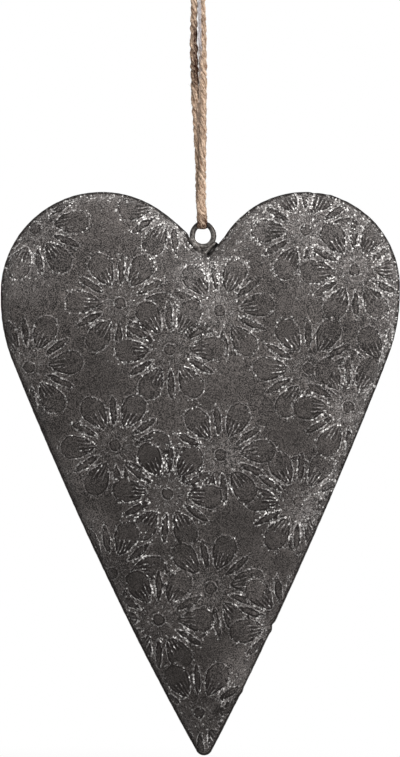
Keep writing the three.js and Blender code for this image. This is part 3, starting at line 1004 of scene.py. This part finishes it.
def strand(path, width, thickness, loosened, start_turn):
    """Rings of a three-ply strand about a path, each point's place in its lay, and how deep each
    is in a crevice.

    The plies turn round the path once in each lay length, a little unevenly. Where the strand
    is loosened it becomes a plain oval of the width and thickness."""
    across, up = path_frame(path)
    along = length_along(path)
    turn = start_turn - 2 * np.pi * along / LAY_LENGTH
    turn = turn + 0.45 * np.sin(0.31 * along) + 0.25 * np.sin(0.83 * along + 2)
    angle = np.linspace(0, 2 * np.pi, TWINE_SIDES, endpoint=False)
    inner = angle[None] - turn[:, None]
    reach, crevice = three_plies(inner, along)
    share = loosened[:, None]
    reach = reach * (1 - share) + share
    crevice = crevice * (1 - 0.7 * share)
    # Fine ridges and hollows of the fibres: waves that wind round the plies at random rates.
    fibre = np.zeros_like(reach)
    draw = np.random.default_rng(7)
    for _ in range(18):
        around_rate = draw.integers(7, 23)
        along_rate = draw.uniform(0.3, 2.6) * draw.choice([-1, 1])
        phase = draw.uniform(0, 2 * np.pi)
        fibre += np.sin(around_rate * inner + along_rate * along[:, None] + phase)
    reach = reach * (1 + 0.022 * fibre)
    swell = 1 + 0.05 * np.sin(along * 0.55 + 1) * np.sin(along * 0.21)
    wide, thick = (size[:, None] / 2 * swell[:, None] * reach for size in (width, thickness))
    rings = ring_sections(path, across, up, wide, thick, angle)
    return rings, place_in_lay(reach * TWINE_RADIUS, inner, along), crevice


def strand_part(rings, lay, crevice, tone):
    """A stretch of strand with closed ends: its points and faces, and its fields."""
    points, faces = faced_out(*tube_mesh(rings))
    lay = np.concatenate([lay.reshape(-1, 3), lay[:1].mean(1), lay[-1:].mean(1)])
    crevice = np.concatenate([crevice.ravel(), [0.6, 0.6]])
    tone = np.concatenate([tone.ravel(), [0, 0]])
    return points, faces, {"lay": lay, "crevice": crevice, "tone": tone}


def hair_part(hairs, tone=HAIR_TONE):
    """A lot of hairs with the same fields as a strand."""
    points, faces = joined(hairs)
    still = np.zeros(len(points))
    return points, faces, {"lay": points * 0.7, "crevice": still, "tone": still + tone}


def hair(line, width):
    """One hair: a thin three-sided tube of changing width along a line."""
    across, up = path_frame(line)
    rings = ring_sections(line, across, up, width[:, None], width[:, None], FIBRE_SIDES)
    return faced_out(*tube_mesh(rings))


def jute_darkening(rings, dark_share):
    """How much darker the jute is, from 0 to -1: brown at the wire, and dark over a stretch of the
    left leg, first along its inner edge and lower down on all of it."""
    at_wire = smooth_step(WIRE_TOP[2] + 4.5, WIRE_TOP[2] - 0.5, rings[..., 2])
    drop = -rings[..., 2]
    stretch = smooth_step(9, 20, drop) * smooth_step(47, 29, drop)
    inner = smooth_step(-2.3, -1.2, rings[..., 0])
    low = 0.48 * smooth_step(24, 31, drop)
    return -0.75 * at_wire - dark_share * stretch * (0.12 + 0.88 * np.maximum(inner, low))


def stray_fibres(rings, path, count, seed, longest):
    """Thin tapered hairs that leave a strand's surface, lean along it and curl."""
    draw = np.random.default_rng(seed)
    hairs = []
    for _ in range(count):
        row = draw.integers(2, len(rings) - 2)
        column = draw.integers(0, rings.shape[1])
        root = rings[row, column]
        out = unit(root - path[row])
        ahead = unit(path[row + 1] - path[row - 1]) * draw.choice([-1, 1])
        curl = np.cross(out, ahead) * draw.normal(0, 0.6)
        length = longest * draw.beta(1.6, 2.6)
        t = np.linspace(0, 1, 7)[:, None]
        lift = draw.uniform(0.35, 1.0)
        line = root + length * (out * lift * t * (1 - 0.35 * t) + ahead * 0.9 * t + curl * t**2)
        line = line - out * 0.1 * (1 - t)
        width = FIBRE_RADIUS * (1 - 0.75 * t[:, 0]) * draw.uniform(0.7, 1.3)
        hairs.append(hair(line, width))
    return hairs


def twine_piece(name, parts, material):
    """One piece from stretches of strand and lots of hairs."""
    points, faces = joined([part[:2] for part in parts])
    fields = {}
    for field in ("lay", "crevice", "tone"):
        fields[field] = np.concatenate([part[2][field] for part in parts])
    return make_piece(name, points, faces, material, fields)


def gap_fuzz(right, left, top, bottom, count, nearest, furthest):
    """Fine hairs between the legs from one drop to another, each a slack line in the gap.

    They lie between two shares of the way from the right leg to the left."""
    draw = np.random.default_rng(77)
    hairs = []
    high = np.flatnonzero((right[:, 2] < -top) & (right[:, 2] > -bottom))
    for _ in range(count):
        start = draw.choice(high)
        other = left[np.argmin(np.abs(left[:, 2] - right[start, 2]))]
        across = draw.uniform(nearest, furthest)
        forward = np.array([0, -1.25, 0]) * draw.choice([0, 1, 1]) * draw.uniform(0.7, 1.2)
        t = np.linspace(0, 1, 7)[:, None]
        middle = right[start] * (1 - across) + other * across + forward
        line = middle + np.array([0, 0, -1.0]) * draw.uniform(1.5, 4.5) * t
        wave = draw.uniform(-0.5, 0.5, 3)
        line = line + np.array([0.35, 0.3, 0]) * wave * np.sin(np.pi * t)
        line = line + np.array([draw.uniform(-0.6, 0.6), draw.uniform(-0.4, 0.4), 0]) * (t - 0.5)
        width = FIBRE_RADIUS * draw.uniform(0.8, 1.5) * np.sqrt(1 - 0.6 * t[:, 0])
        hairs.append(hair(line, width))
    return hairs


def twine_pieces(material):
    """The legs and the bight, cut from one strand so that their plies run on.

    The number of a leg's or the bight's hairs goes with its cut, and whether it is darkened."""
    path = whole_twine()
    above, drop = path[:, 2] - WIRE_TOP[2], -path[:, 2]
    near_wire = smooth_step(*WIDENING, above)
    squeezed = smooth_step(*SQUEEZE, above)
    fat = 2 * TWINE_RADIUS * (1 + FATTER * smooth_step(*FATTER_DROPS, drop))
    pressed = smooth_step(*PRESSED_FROM, drop) * smooth_step(*PRESSED_TO, drop)
    width = fat * (1 + PRESSED * pressed)
    width = width + (BIGHT_WIDTH - width) * near_wire
    thickness = fat + (BIGHT_THICKNESS - fat) * squeezed
    rings, lay, crevice = strand(path, width, thickness, LOOSENED * near_wire, start_turn=0.6)
    first, last = np.flatnonzero(above < BIGHT_STRAIGHT)[[0, -1]]
    cuts = {
        "jute_leg_right": (slice(0, first + 1), 260, 0),
        "jute_bight": (slice(first, last + 1), 14, 0),
        "jute_leg_left": (slice(last, len(path)), 260, 1),
    }
    legs = path[cuts["jute_leg_right"][0]], path[cuts["jute_leg_left"][0]]
    made = {}
    for seed, (name, (cut, hairs, dark_share)) in enumerate(cuts.items()):
        tone = jute_darkening(rings[cut], dark_share)
        parts = [strand_part(rings[cut], lay[cut], crevice[cut], tone)]
        parts.append(hair_part(stray_fibres(rings[cut], path[cut], hairs, seed + 40, HAIR_LENGTH)))
        if name == "jute_leg_right":
            parts += [hair_part(gap_fuzz(*legs, *where), tone) for *where, tone in GAP_FUZZ]
        made[name] = (twine_piece(name, parts, material), path[cut])
    return made


def knot_line(share, offset):
    """A trefoil seen from the front: a ring of radius 2 + cos 3t that goes round twice, with
    sin 3t towards the viewer. offset moves it sideways, square to its run."""
    t = 2 * np.pi * share
    reach = 2 + np.cos(3 * t)
    line = np.stack([reach * np.cos(2 * t), -1.1 * np.sin(3 * t), reach * np.sin(2 * t)], -1)
    out = unit(np.cross(np.gradient(line, axis=0), [0.0, 1.0, 0.0]))
    return KNOT_SIZE * line + offset * out


def carried_strand(path, radius, seed):
    """A strand about a path of any direction, its frame carried along with the least turning."""
    ahead = unit(np.gradient(path, axis=0))
    side = np.cross(ahead[0], [0.3, 1.0, 0.2])
    sides = []
    for way in ahead:
        side = unit(side - way * (side @ way))
        sides.append(side)
    across = np.array(sides)
    along = length_along(path) + seed * 3
    angle = np.linspace(0, 2 * np.pi, KNOT_STRAND_SIDES, endpoint=False)
    inner = angle[None] + 2 * np.pi * along[:, None] / LAY_LENGTH
    reach, crevice = three_plies(inner, along)
    reach = reach * radius
    rings = ring_sections(path, across, np.cross(ahead, across), reach, reach, angle)
    return rings, place_in_lay(reach, inner, along), crevice


def knot_piece(material):
    """The overhand knot of the doubled twine, with two short frayed ends above it."""
    parts = []

    def lay_strand(path, radius, seed, hairs, hair_seed):
        rings, lay, crevice = carried_strand(path, radius, seed)
        parts.append(strand_part(rings, lay, crevice, 0 * crevice))
        parts.append(hair_part(stray_fibres(rings, path, hairs, hair_seed, KNOT_HAIR_LENGTH)))
        return rings

    for number, offset in enumerate((-KNOT_PAIR, KNOT_PAIR)):
        path = knot_line(np.linspace(*KNOT_SHARES, 210), offset)
        lay_strand(path, KNOT_STRAND_RADIUS, number, 60, 70 + number)
    for number, side in enumerate((1, -1)):
        turn = np.linspace(0, 1, 60)[:, None]
        start = np.array([side * 0.8, 0.4 * side, 0.5])
        bend = np.array([side * 1.9, -0.3 * side, 5.0])
        end = np.array([side * 3.4, 0.2, KNOT_RADIUS + TAIL_LENGTH - 1.2])
        path = (1 - turn) ** 2 * start + 2 * (1 - turn) * turn * bend + turn**2 * end
        rings = lay_strand(path, TWINE_RADIUS, 3 + number, 40, 80 + number)
        parts.append(hair_part(stray_fibres(rings[-6:], path[-6:], 60, 90 + number, FRAY_LENGTH)))
    return twine_piece("jute_knot", parts, material)


# Materials.

RGBA = {"out": 2, "data_type": "RGBA"}
SOFT = {"interpolation_type": "SMOOTHSTEP"}


def add_node(tree, kind, *inputs, out=0, **settings):
    """Adds a node with its settings. Its inputs are given in order, or as one dict by number or
    name. Each is a socket to link or a value to set."""
    node = tree.nodes.new("ShaderNode" + kind)
    for name, value in settings.items():
        setattr(node, name, value)
    named = inputs and isinstance(inputs[0], dict)
    for socket, value in inputs[0].items() if named else enumerate(inputs):
        if isinstance(value, bpy.types.NodeSocket):
            tree.links.new(value, node.inputs[socket])
        else:
            node.inputs[socket].default_value = value
    return node.outputs[out] if node.outputs else node


def empty_material(name):
    """A material without nodes, and the function that adds nodes to it."""
    material = bpy.data.materials.new(name)
    material.use_nodes = True
    material.node_tree.nodes.clear()
    return material, partial(add_node, material.node_tree)


def finish_material(add, height, distance, strength, **sockets):
    """Ends a material in one shader over a bump. An underscore in a socket stands for a space."""
    bump = {"Height": height, "Distance": distance, "Strength": strength}
    inputs = {name.replace("_", " "): value for name, value in sockets.items()}
    inputs["Normal"] = add("Bump", bump)
    add("OutputMaterial", {"Surface": add("BsdfPrincipled", inputs)})


def pressed_tin():
    """Tinplate with a dark patina, rubbed back to grey metal where it stands proud.

    To the eye: a dull brown-grey with a rough fine grain, nearly black in its hollows, broken
    greyish lines round the petals, a dust of pale specks beside them, and bright bare dots."""
    material, add = empty_material("pressed_tin_with_dark_patina")
    spot = add("TexCoord", out=3)
    names = ("outline", "stroke", "rim", "pale")
    outline, stroke, rim, pale = (add("Attribute", out=2, attribute_name=x) for x in names)
    place = add("Attribute", out=1, attribute_name="burst")
    # Grain of 0.45 mm, as coarse as it needs to show; the real one is finer. Wear of 1.8 mm
    # breaks the lines up, patches are of 3 mm and clouds of 22 mm.
    sockets = ("Vector", "Scale", "Detail", "Roughness", "Distortion")
    grain, wear, patch, cloud = (
        add("TexNoise", dict(zip(sockets, (spot, *values))))
        for values in ((2200, 2.5, 0.7, 0.3), (560, 2, 0.6), (330, 2, 0.6), (45, 3, 0.5))
    )
    mixed = add("Math", patch, 0.15, grain, operation="MULTIPLY_ADD")
    # Dots of 1 mm in cells of 1.5 mm and specks of 0.6 mm in cells of 0.8 mm, with their edges
    # broken by a noise of 0.6 mm that shifts them by up to half a millimetre.
    ragged = add("TexNoise", {"Vector": spot, "Scale": 1700, "Detail": 2}, out=1)
    shift = {0: ragged, 1: (0.0011, 0.0011, 0.0011), 2: spot}
    ragged = add("VectorMath", shift, operation="MULTIPLY_ADD")
    dots, specks = ({"Vector": ragged, "Scale": s} for s in (680, 1250))

    # Polar coordinates on each daisy. Three strokes run out from its middle in each petal, and
    # beads of about 1 by 0.7 mm point at it in the burst round its hub. Between two daisies,
    # where their numbers meet, there are none.
    across, up, number = (add("SeparateXYZ", place, out=k) for k in range(3))
    flat = add("VectorMath", place, (1, 1, 0), operation="MULTIPLY")
    middle = add("VectorMath", flat, out=1, operation="LENGTH")
    between = add("Math", number, 5, operation="PINGPONG")
    between = add("MapRange", between, 0.05, 0.2)
    middle = add("Math", between, DAISY_REACH, middle, operation="MULTIPLY_ADD")
    angle = add("Math", up, across, operation="ARCTAN2")
    folded = add("Math", wear, 0.12, angle, operation="MULTIPLY_ADD")
    folded = add("Math", folded, -0.06, operation="ADD")
    for step in (math.pi / 6, STROKE_ANGLE / 2):
        folded = add("Math", folded, step, operation="PINGPONG")
    off_stroke = add("Math", folded, middle, operation="MULTIPLY")
    outwards = add("Math", middle, 0.75, operation="MULTIPLY")
    sideways = add("Math", angle, 14.3, operation="MULTIPLY")
    polar = add("CombineXYZ", outwards, sideways, number)
    dashes = {"Vector": polar, "Scale": 1}
    # Each cell has a distance from its middle, and a chance of its own.
    dot_middle, speck_middle, dash_middle = (
        add("TexVoronoi", cells, out=0) for cells in (dots, specks, dashes)
    )
    dot_chance, speck_chance, dash_chance = (
        add("SeparateColor", add("TexVoronoi", cells, out=1), out=0)
        for cells in (dots, specks, dashes)
    )

    # The hub in the middle of a daisy, the burst round it, and its blank inner part, which the
    # wear makes uneven. The lines are kept whole or broken by the wear too.
    kept = add("MapRange", wear, 0.34, 0.54, 0.3, 1, **SOFT)
    worn_middle = add("Math", wear, 3.0, middle, operation="MULTIPLY_ADD")
    hub = add("MapRange", worn_middle, 8.6, 6.8, **SOFT)
    inner = add("MapRange", worn_middle, 11.5, 9.0, 0, 0.8, **SOFT)
    burst = add("MapRange", middle, 19, 12, **SOFT)
    burst = add("Math", burst, inner, operation="SUBTRACT", use_clamp=True)

    # Lines: a thin pale one just outside each petal's edge, and the strokes, which also run as
    # streaks over the hub. Lines are clearest in the burst.
    wobble = add("MapRange", patch, 0.3, 0.7, -0.3, 0.3)
    outline = add("Math", outline, wobble, operation="ADD")
    outside, within = (add("Math", outline, by, operation="ADD") for by in (-0.2, 0.36))
    away, inward = (add("Math", x, operation="ABSOLUTE") for x in (outside, within))
    line = add("MapRange", away, 0.34, 0.04, **SOFT)
    uneven = stroke
    for value in (patch, between):
        uneven = add("Math", value, 2.0, uneven, operation="MULTIPLY_ADD")
    near_stroke = add("MapRange", uneven, 1.8, 1.3, **SOFT)
    streaks = add("MapRange", middle, 2.9, 4.2, 0, 0.9, **SOFT)
    streaks = add("Math", streaks, hub, operation="MULTIPLY")
    near_stroke = add("Math", near_stroke, streaks, operation="MAXIMUM")
    notched = add("MapRange", dash_middle, 0.75, 0.25, 0.2, 1.25, **SOFT)
    rib = add("MapRange", off_stroke, 0.32, 0.06, **SOFT)
    for value in (near_stroke, notched):
        rib = add("Math", rib, value, operation="MULTIPLY")
    line = add("Math", line, rib, operation="MAXIMUM")
    clear = add("Math", burst, 0.7, 0.7, operation="MULTIPLY_ADD")
    clear = add("Math", hub, -0.1, clear, operation="MULTIPLY_ADD")
    clear = add("Math", clear, kept, operation="MULTIPLY")
    beaded = add("MapRange", speck_middle, 0.7, 0.2, 0.6, 1.15, **SOFT)
    for value in (beaded, clear):
        line = add("Math", line, value, operation="MULTIPLY")

    # Grooves: a dark line inside each petal's edge and beside each stroke.
    groove = add("MapRange", inward, 0.45, 0.08, **SOFT)
    aside = add("MapRange", off_stroke, 0.2, 0.5, 0, 0.6, **SOFT)
    aside = add("Math", aside, near_stroke, operation="MULTIPLY")
    groove = add("Math", groove, aside, operation="MAXIMUM")
    groove_clear = add("Math", hub, 0.1, clear, operation="MULTIPLY_ADD")
    groove = add("Math", groove, groove_clear, operation="MULTIPLY")

    # Smooth inside the petals and a little on the hub, mottled beside the petals and less so on
    # the hub, and a painted dark line of shade on the lip's own edge.
    inside = add("MapRange", outline, -0.3, -1.2, **SOFT)
    smooth = add("Math", inside, 0.8, operation="MULTIPLY")
    calm, mottled = (add("Math", hub, w, operation="MULTIPLY") for w in (0.2, 0.62))
    smooth = add("Math", smooth, calm, operation="MAXIMUM")
    beside = add("MapRange", outline, 2.2, 0.4, **SOFT)
    beside = add("Math", beside, mottled, operation="MAXIMUM")
    beside = add("Math", beside, smooth, operation="SUBTRACT", use_clamp=True)
    # Painted shade: a dark line along the lip's own edge.
    edge = add("MapRange", rim, 0.8, 0.3, **SOFT)

    # A dot, a speck or a dash is bare where its cell's chance, which the lines and the worn
    # places raise, is over a level. In the heaviest places a few are still left.
    dusty = add("Math", pale, -0.1, operation="MAXIMUM")
    marks = (
        (
            dot_chance,
            ((cloud, 0.7), (line, 0.6), (dusty, 0.3), (smooth, -0.3)),
            (1.42, 1.7),
            (dot_middle, 0.45, 0.2),
        ),
        (
            speck_chance,
            ((cloud, 0.7), (beside, 0.3), (dusty, 0.45), (smooth, -0.3)),
            (1.24, 1.8),
            (speck_middle, 0.55, 0.2),
        ),
        (dash_chance, ((cloud, 0.7), (dusty, 0.2)), (0.95, 1.4), (dash_middle, 0.55, 0.25)),
    )
    found = []
    for level, sources, (low, high), (cell_middle, outer, full) in marks:
        for value, weight in sources:
            level = add("Math", value, weight, level, operation="MULTIPLY_ADD")
        chosen = add("MapRange", level, low, high, **SOFT)
        mark = add("MapRange", cell_middle, outer, full, **SOFT)
        found.append((chosen, mark))
    (dot_chosen, dot), (speck_chosen, speck), (dash_chosen, dash) = found
    dot = add("Math", dot_chosen, dot, operation="MULTIPLY")
    speck = add("Math", speck_chosen, speck, operation="MULTIPLY")
    bare = add("Math", dot, speck, operation="MAXIMUM")
    thick = add("MapRange", away, 0.6, 0.25, **SOFT)
    thick = add("Math", thick, rib, operation="MAXIMUM")
    for value in (thick, burst):
        dash = add("Math", dash, value, operation="MULTIPLY")
    dash = add("Math", dash, dash_chosen, operation="MULTIPLY", use_clamp=True)
    bare = add("Math", bare, dash, operation="MAXIMUM")

    # Colours: black to mid with the grain, which is stronger where it is mottled, then darker in
    # the grooves, painted shade on the edge, paler where it is worn and on the lines, and bare
    # metal.
    rough = add("Math", beside, 1.9, 3.65, operation="MULTIPLY_ADD")
    for value, weight in ((inside, -0.5), (pale, 1.0)):
        rough = add("Math", value, weight, rough, operation="MULTIPLY_ADD")
    centred = add("Math", mixed, -0.575, operation="ADD")
    shade = add("Math", centred, rough, 0.48, operation="MULTIPLY_ADD")
    drift = add("MapRange", cloud, 0.3, 0.7, -0.24, 0.04)
    shade = add("Math", shade, drift, operation="ADD")
    shade = add("MapRange", shade, 0, 1)
    darker = add("MapRange", pale, 0, -1)
    for value, weight in ((inside, 0.06), (groove, 0.75), (edge, 0.8)):
        darker = add("Math", value, weight, darker, operation="MULTIPLY_ADD")
    darker = add("Math", darker, 1.0, operation="MINIMUM")
    lit = add("Math", shade, 0.7, 0.15, operation="MULTIPLY_ADD")
    lit = add("Math", inside, -0.07, lit, operation="MULTIPLY_ADD", use_clamp=True)
    faded = add("Math", pale, 0.35, line, operation="MULTIPLY_ADD")
    faded = add("Math", faded, lit, operation="MULTIPLY", use_clamp=True)
    # The grooves keep a little of their dark, and the edge keeps its painted shade, under the pale
    # lines.
    kept_dark = add("Math", groove, 0.28, operation="MULTIPLY")
    kept_dark = add("Math", kept_dark, edge, operation="MAXIMUM")
    faded = add("Math", faded, kept_dark, operation="SUBTRACT", use_clamp=True)
    colour = hex_colour("0d0a09")
    layers = ((shade, "716b68"), (darker, "181412"), (faded, "aea9a7"), (bare, "e8e5e2"))
    for share, code in layers:
        colour = add("Mix", {0: share, 6: colour, 7: hex_colour(code)}, **RGBA)

    # Heights in millimetres: the ridge on each line, and the grain of the worn patina.
    ridge = add("Math", line, 0.12, operation="MULTIPLY")
    ridge = add("Math", groove, -0.08, ridge, operation="MULTIPLY_ADD")
    height = add("Math", mixed, 0.3, ridge, operation="MULTIPLY_ADD")
    finish_material(
        add,
        height,
        MM,
        0.8,
        Base_Color=colour,
        Metallic=add("MapRange", bare, 0, 1, 0.3, 0.85),
        Roughness=add("MapRange", bare, 0, 1, 0.62, 0.38),
        Specular_IOR_Level=0.2,
    )
    return material


def soft_solder():
    """Tin-lead solder gone grey, left as it flowed: lumpy, with a low gleam. It is darkened by
    burnt flux along the seam, with painted shade on its upper right, and painted black as shade
    in the slit beside the eye."""
    material, add = empty_material("flowed_soft_solder")
    spot = add("TexCoord", out=3)
    # Grain of 0.9 mm and lumps of 3 mm.
    grain = add("TexNoise", {"Vector": spot, "Scale": 1100, "Detail": 3, "Roughness": 0.65})
    patch = add("TexNoise", {"Vector": spot, "Scale": 300, "Detail": 2, "Roughness": 0.5})
    mixed = add("Math", patch, 0.5, grain, operation="MULTIPLY_ADD")
    shade = add("MapRange", mixed, 0.5, 1.0)
    bare = add("MapRange", mixed, 0.84, 0.98, **SOFT)
    # Soot along the seam, with painted shade on its upper right and on the web in the slit.
    soot_and_painted_shade = add("Attribute", out=2, attribute_name="soot_and_painted_shade")
    colour = hex_colour("36322f")
    for share, code in ((shade, "85807c"), (bare, "b9b6b2"), (soot_and_painted_shade, "050404")):
        colour = add("Mix", {0: share, 6: colour, 7: hex_colour(code)}, **RGBA)
    gleam = add("MapRange", bare, 0, 1, 0.55, 0.32)
    finish_material(
        add,
        mixed,
        0.4 * MM,
        0.7,
        Base_Color=colour,
        Metallic=add("MapRange", soot_and_painted_shade, 0, 1, 0.6, 0),
        Roughness=add("Math", gleam, soot_and_painted_shade, operation="MAXIMUM"),
        Specular_IOR_Level=0.2,
    )
    return material


def drawn_wire():
    """Drawn iron wire, grey with a brown bloom and a dull shine, and painted black shade where the
    twine bears on it."""
    material, add = empty_material("blackened_drawn_iron_wire")
    spot = add("TexCoord", out=3)
    # Grain of 1.1 mm and a bloom of 4 mm. The real draw marks are finer and wouldn't show.
    grain = add("TexNoise", {"Vector": spot, "Scale": 900, "Detail": 3, "Roughness": 0.6})
    bloom = add("TexNoise", {"Vector": spot, "Scale": 260, "Detail": 2, "Roughness": 0.5})
    shade = add("MapRange", grain, 0.38, 0.66)
    brown = add("MapRange", bloom, 0.5, 0.68, 0, 0.3, **SOFT)
    # Painted shade: near black at the top of the eye, under the twine.
    twine_shadow = add("Attribute", out=2, attribute_name="twine_shadow")
    twine_shadow = add("Math", twine_shadow, 0.85, operation="MULTIPLY")
    colour = hex_colour("322f2d")
    for share, code in ((shade, "75716d"), (brown, "4d3b2e"), (twine_shadow, "0e0c0b")):
        colour = add("Mix", {0: share, 6: colour, 7: hex_colour(code)}, **RGBA)
    finish_material(
        add,
        grain,
        0.15 * MM,
        0.6,
        Base_Color=colour,
        Metallic=0.75,
        Roughness=0.42,
        Specular_IOR_Level=0.4,
    )
    return material


def jute():
    """Three-ply jute twine: dull tan bast fibres, each a little paler or browner than the next,
    with painted shade where two plies meet, darker over some stretches, and with loose hairs."""
    material, add = empty_material("three_ply_jute_twine")
    lay = add("Attribute", out=1, attribute_name="lay")
    crevice, tone = (add("Attribute", out=2, attribute_name=x) for x in ("crevice", "tone"))
    spot = add("TexCoord", out=3)
    # lay is in millimetres across the twine and an eighth of them along it, so that streaks of
    # 0.3 mm, and broad ones of 0.9 mm, run eight times as far along the plies. The fuzz is of
    # 0.8 mm.
    streak, broad, fuzz = (
        add("TexNoise", {"Vector": vector, "Scale": scale, "Detail": detail, "Roughness": rough})
        for vector, scale, detail, rough in (
            (lay, 3.4, 3, 0.7),
            (lay, 1.1, 2, 0.5),
            (spot, 1300, 2, 0.7),
        )
    )
    mixed = add("Math", broad, 0.4, streak, operation="MULTIPLY_ADD")
    mixed = add("Math", fuzz, 0.5, mixed, operation="MULTIPLY_ADD")
    shade = add("MapRange", mixed, 0.78, 1.1)
    # Painted shade where two plies meet.
    shadow = add("Math", crevice, 0.42, operation="MULTIPLY", use_clamp=True)
    # A tone over 0 is pale and one below it is darker, more so where the fibres are dark.
    pale = add("MapRange", tone)
    dark_share = add("Math", tone, -1.0, operation="MULTIPLY", use_clamp=True)
    spared = add("MapRange", shade, 1.0, 0.2, 0.55, 1.5)
    dark_share = add("Math", dark_share, spared, operation="MULTIPLY", use_clamp=True)
    colour = hex_colour("7c5a43")
    layers = ((shade, "fde0c5"), (shadow, "5a4030"), (pale, "f3ecee"), (dark_share, "331507"))
    for share, code in layers:
        colour = add("Mix", {0: share, 6: colour, 7: hex_colour(code)}, **RGBA)
    height = add("Math", fuzz, 0.5, streak, operation="MULTIPLY_ADD")
    finish_material(
        add, height, 0.8 * MM, 0.9, Base_Color=colour, Roughness=0.85, Specular_IOR_Level=0.1
    )
    return material


# The studio.


def seen_directly(add):
    """1 for rays that the camera, a reflection or a clear piece sends, and 0 for the rest."""
    seen, *others = (add("LightPath", out=k) for k in (0, 3, 6))
    for other in others:
        seen = add("Math", seen, other, operation="MAXIMUM")
    return seen


def white_world():
    """A white surround in what is seen or reflected, and a plain grey fill light."""
    world = bpy.data.worlds.new("white_studio")
    world.use_nodes = True
    world.node_tree.nodes.clear()
    add = partial(add_node, world.node_tree)
    direct = seen_directly(add)
    strength = add("MapRange", direct, 0, 1, FILL_LIGHT, 1)
    light = add("Background", {"Color": (1, 1, 1, 1), "Strength": strength})
    add("OutputWorld", {"Surface": light})
    bpy.context.scene.world = world


def studio_floor():
    """A pale floor below the heart that keeps a soft shadow and fades to white away from it."""
    mesh = bpy.data.meshes.new("studio_floor")
    corners = [(x, y, FLOOR_HEIGHT * MM) for x, y in FLOOR_CORNERS]
    mesh.from_pydata(corners, [], [(0, 1, 2, 3)])
    material, add = empty_material("pale_matt_studio_floor")
    paint = add("BsdfDiffuse", {"Color": hex_colour("cbcbcb")})
    glow = add("Emission", {"Color": (1, 1, 1, 1), "Strength": 1.0})
    direct = seen_directly(add)
    away = add("VectorMath", add("TexCoord", out=3), out=1, operation="LENGTH")
    faded = add("MapRange", away, *FLOOR_FADE, 0.7, 1, **SOFT)
    share = add("Math", direct, faded, operation="MULTIPLY")
    shader = add("MixShader", share, paint, glow)
    add("OutputMaterial", {"Surface": shader})
    mesh.materials.append(material)
    placed("studio_floor", mesh)


def lamp(name, place, width, power):
    """A square soft lamp, turned to the heart."""
    light = bpy.data.lights.new(name, "AREA")
    light.shape = "SQUARE"
    light.size = width
    light.energy = power
    hung = placed(name, light)
    hung.location = place
    way = Vector(place) - Vector(LAMP_TARGET)
    hung.rotation_euler = way.to_track_quat("Z", "Y").to_euler()


def camera():
    """Straight on, level with the middle of the photograph."""
    data = bpy.data.cameras.new("photo_camera")
    data.sensor_width = SENSOR_WIDTH
    data.lens = SENSOR_WIDTH * CAMERA_DISTANCE / PHOTO_HEIGHT
    view = placed("photo_camera", data)
    view.location = (PHOTO_MIDDLE[0] * MM, -CAMERA_DISTANCE * MM, PHOTO_MIDDLE[1] * MM)
    view.rotation_euler = (math.pi / 2, 0, 0)
    bpy.context.scene.camera = view


def back_daisies():
    """The daisies of the back: the front's, shifted and turned, so that the back is covered."""
    found = []
    turn = math.radians(BACK_TURN)
    for side, height, own in DAISIES:
        x, z = side + BACK_SHIFT[0], height - BACK_TURN_HEIGHT + BACK_SHIFT[1]
        x, z = x * math.cos(turn) - z * math.sin(turn), x * math.sin(turn) + z * math.cos(turn)
        found.append((x, z + BACK_TURN_HEIGHT, own + BACK_TURN))
    return found


camera()
white_world()
studio_floor()
for each in LAMPS:
    lamp(*each)
bpy.context.scene.view_settings.view_transform = "Standard"

fibre, tin, solder = jute(), pressed_tin(), soft_solder()
twine = twine_pieces(fibre)
knot = knot_piece(fibre)
bight, _ = twine["jute_bight"]
front = shell("front_of_daisies", -1, DAISIES, tin, 3)
back = shell("back_of_daisies", 1, back_daisies(), tin, 13)
for piece, body, node, slot in (
    (knot, "knot", "twine_knot", "jute"),
    (bight, "bight", "twine_bight", "jute"),
    (front, "heart", "front_shell", "shell_tin"),
    (back, "heart", "back_shell", "shell_tin"),
    (seam_bead(solder), "heart", "seam_solder", "solder"),
    (eye_wire(drawn_wire()), "heart", "eye_ring", "eye_wire"),
    (eye_solder_piece(solder), "heart", "eye_solder", "solder"),
):
    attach(piece, body)
    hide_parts(node)
for side in ("right", "left"):
    leg, path = twine["jute_leg_" + side]
    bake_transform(leg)
    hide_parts("twine_leg_" + side)
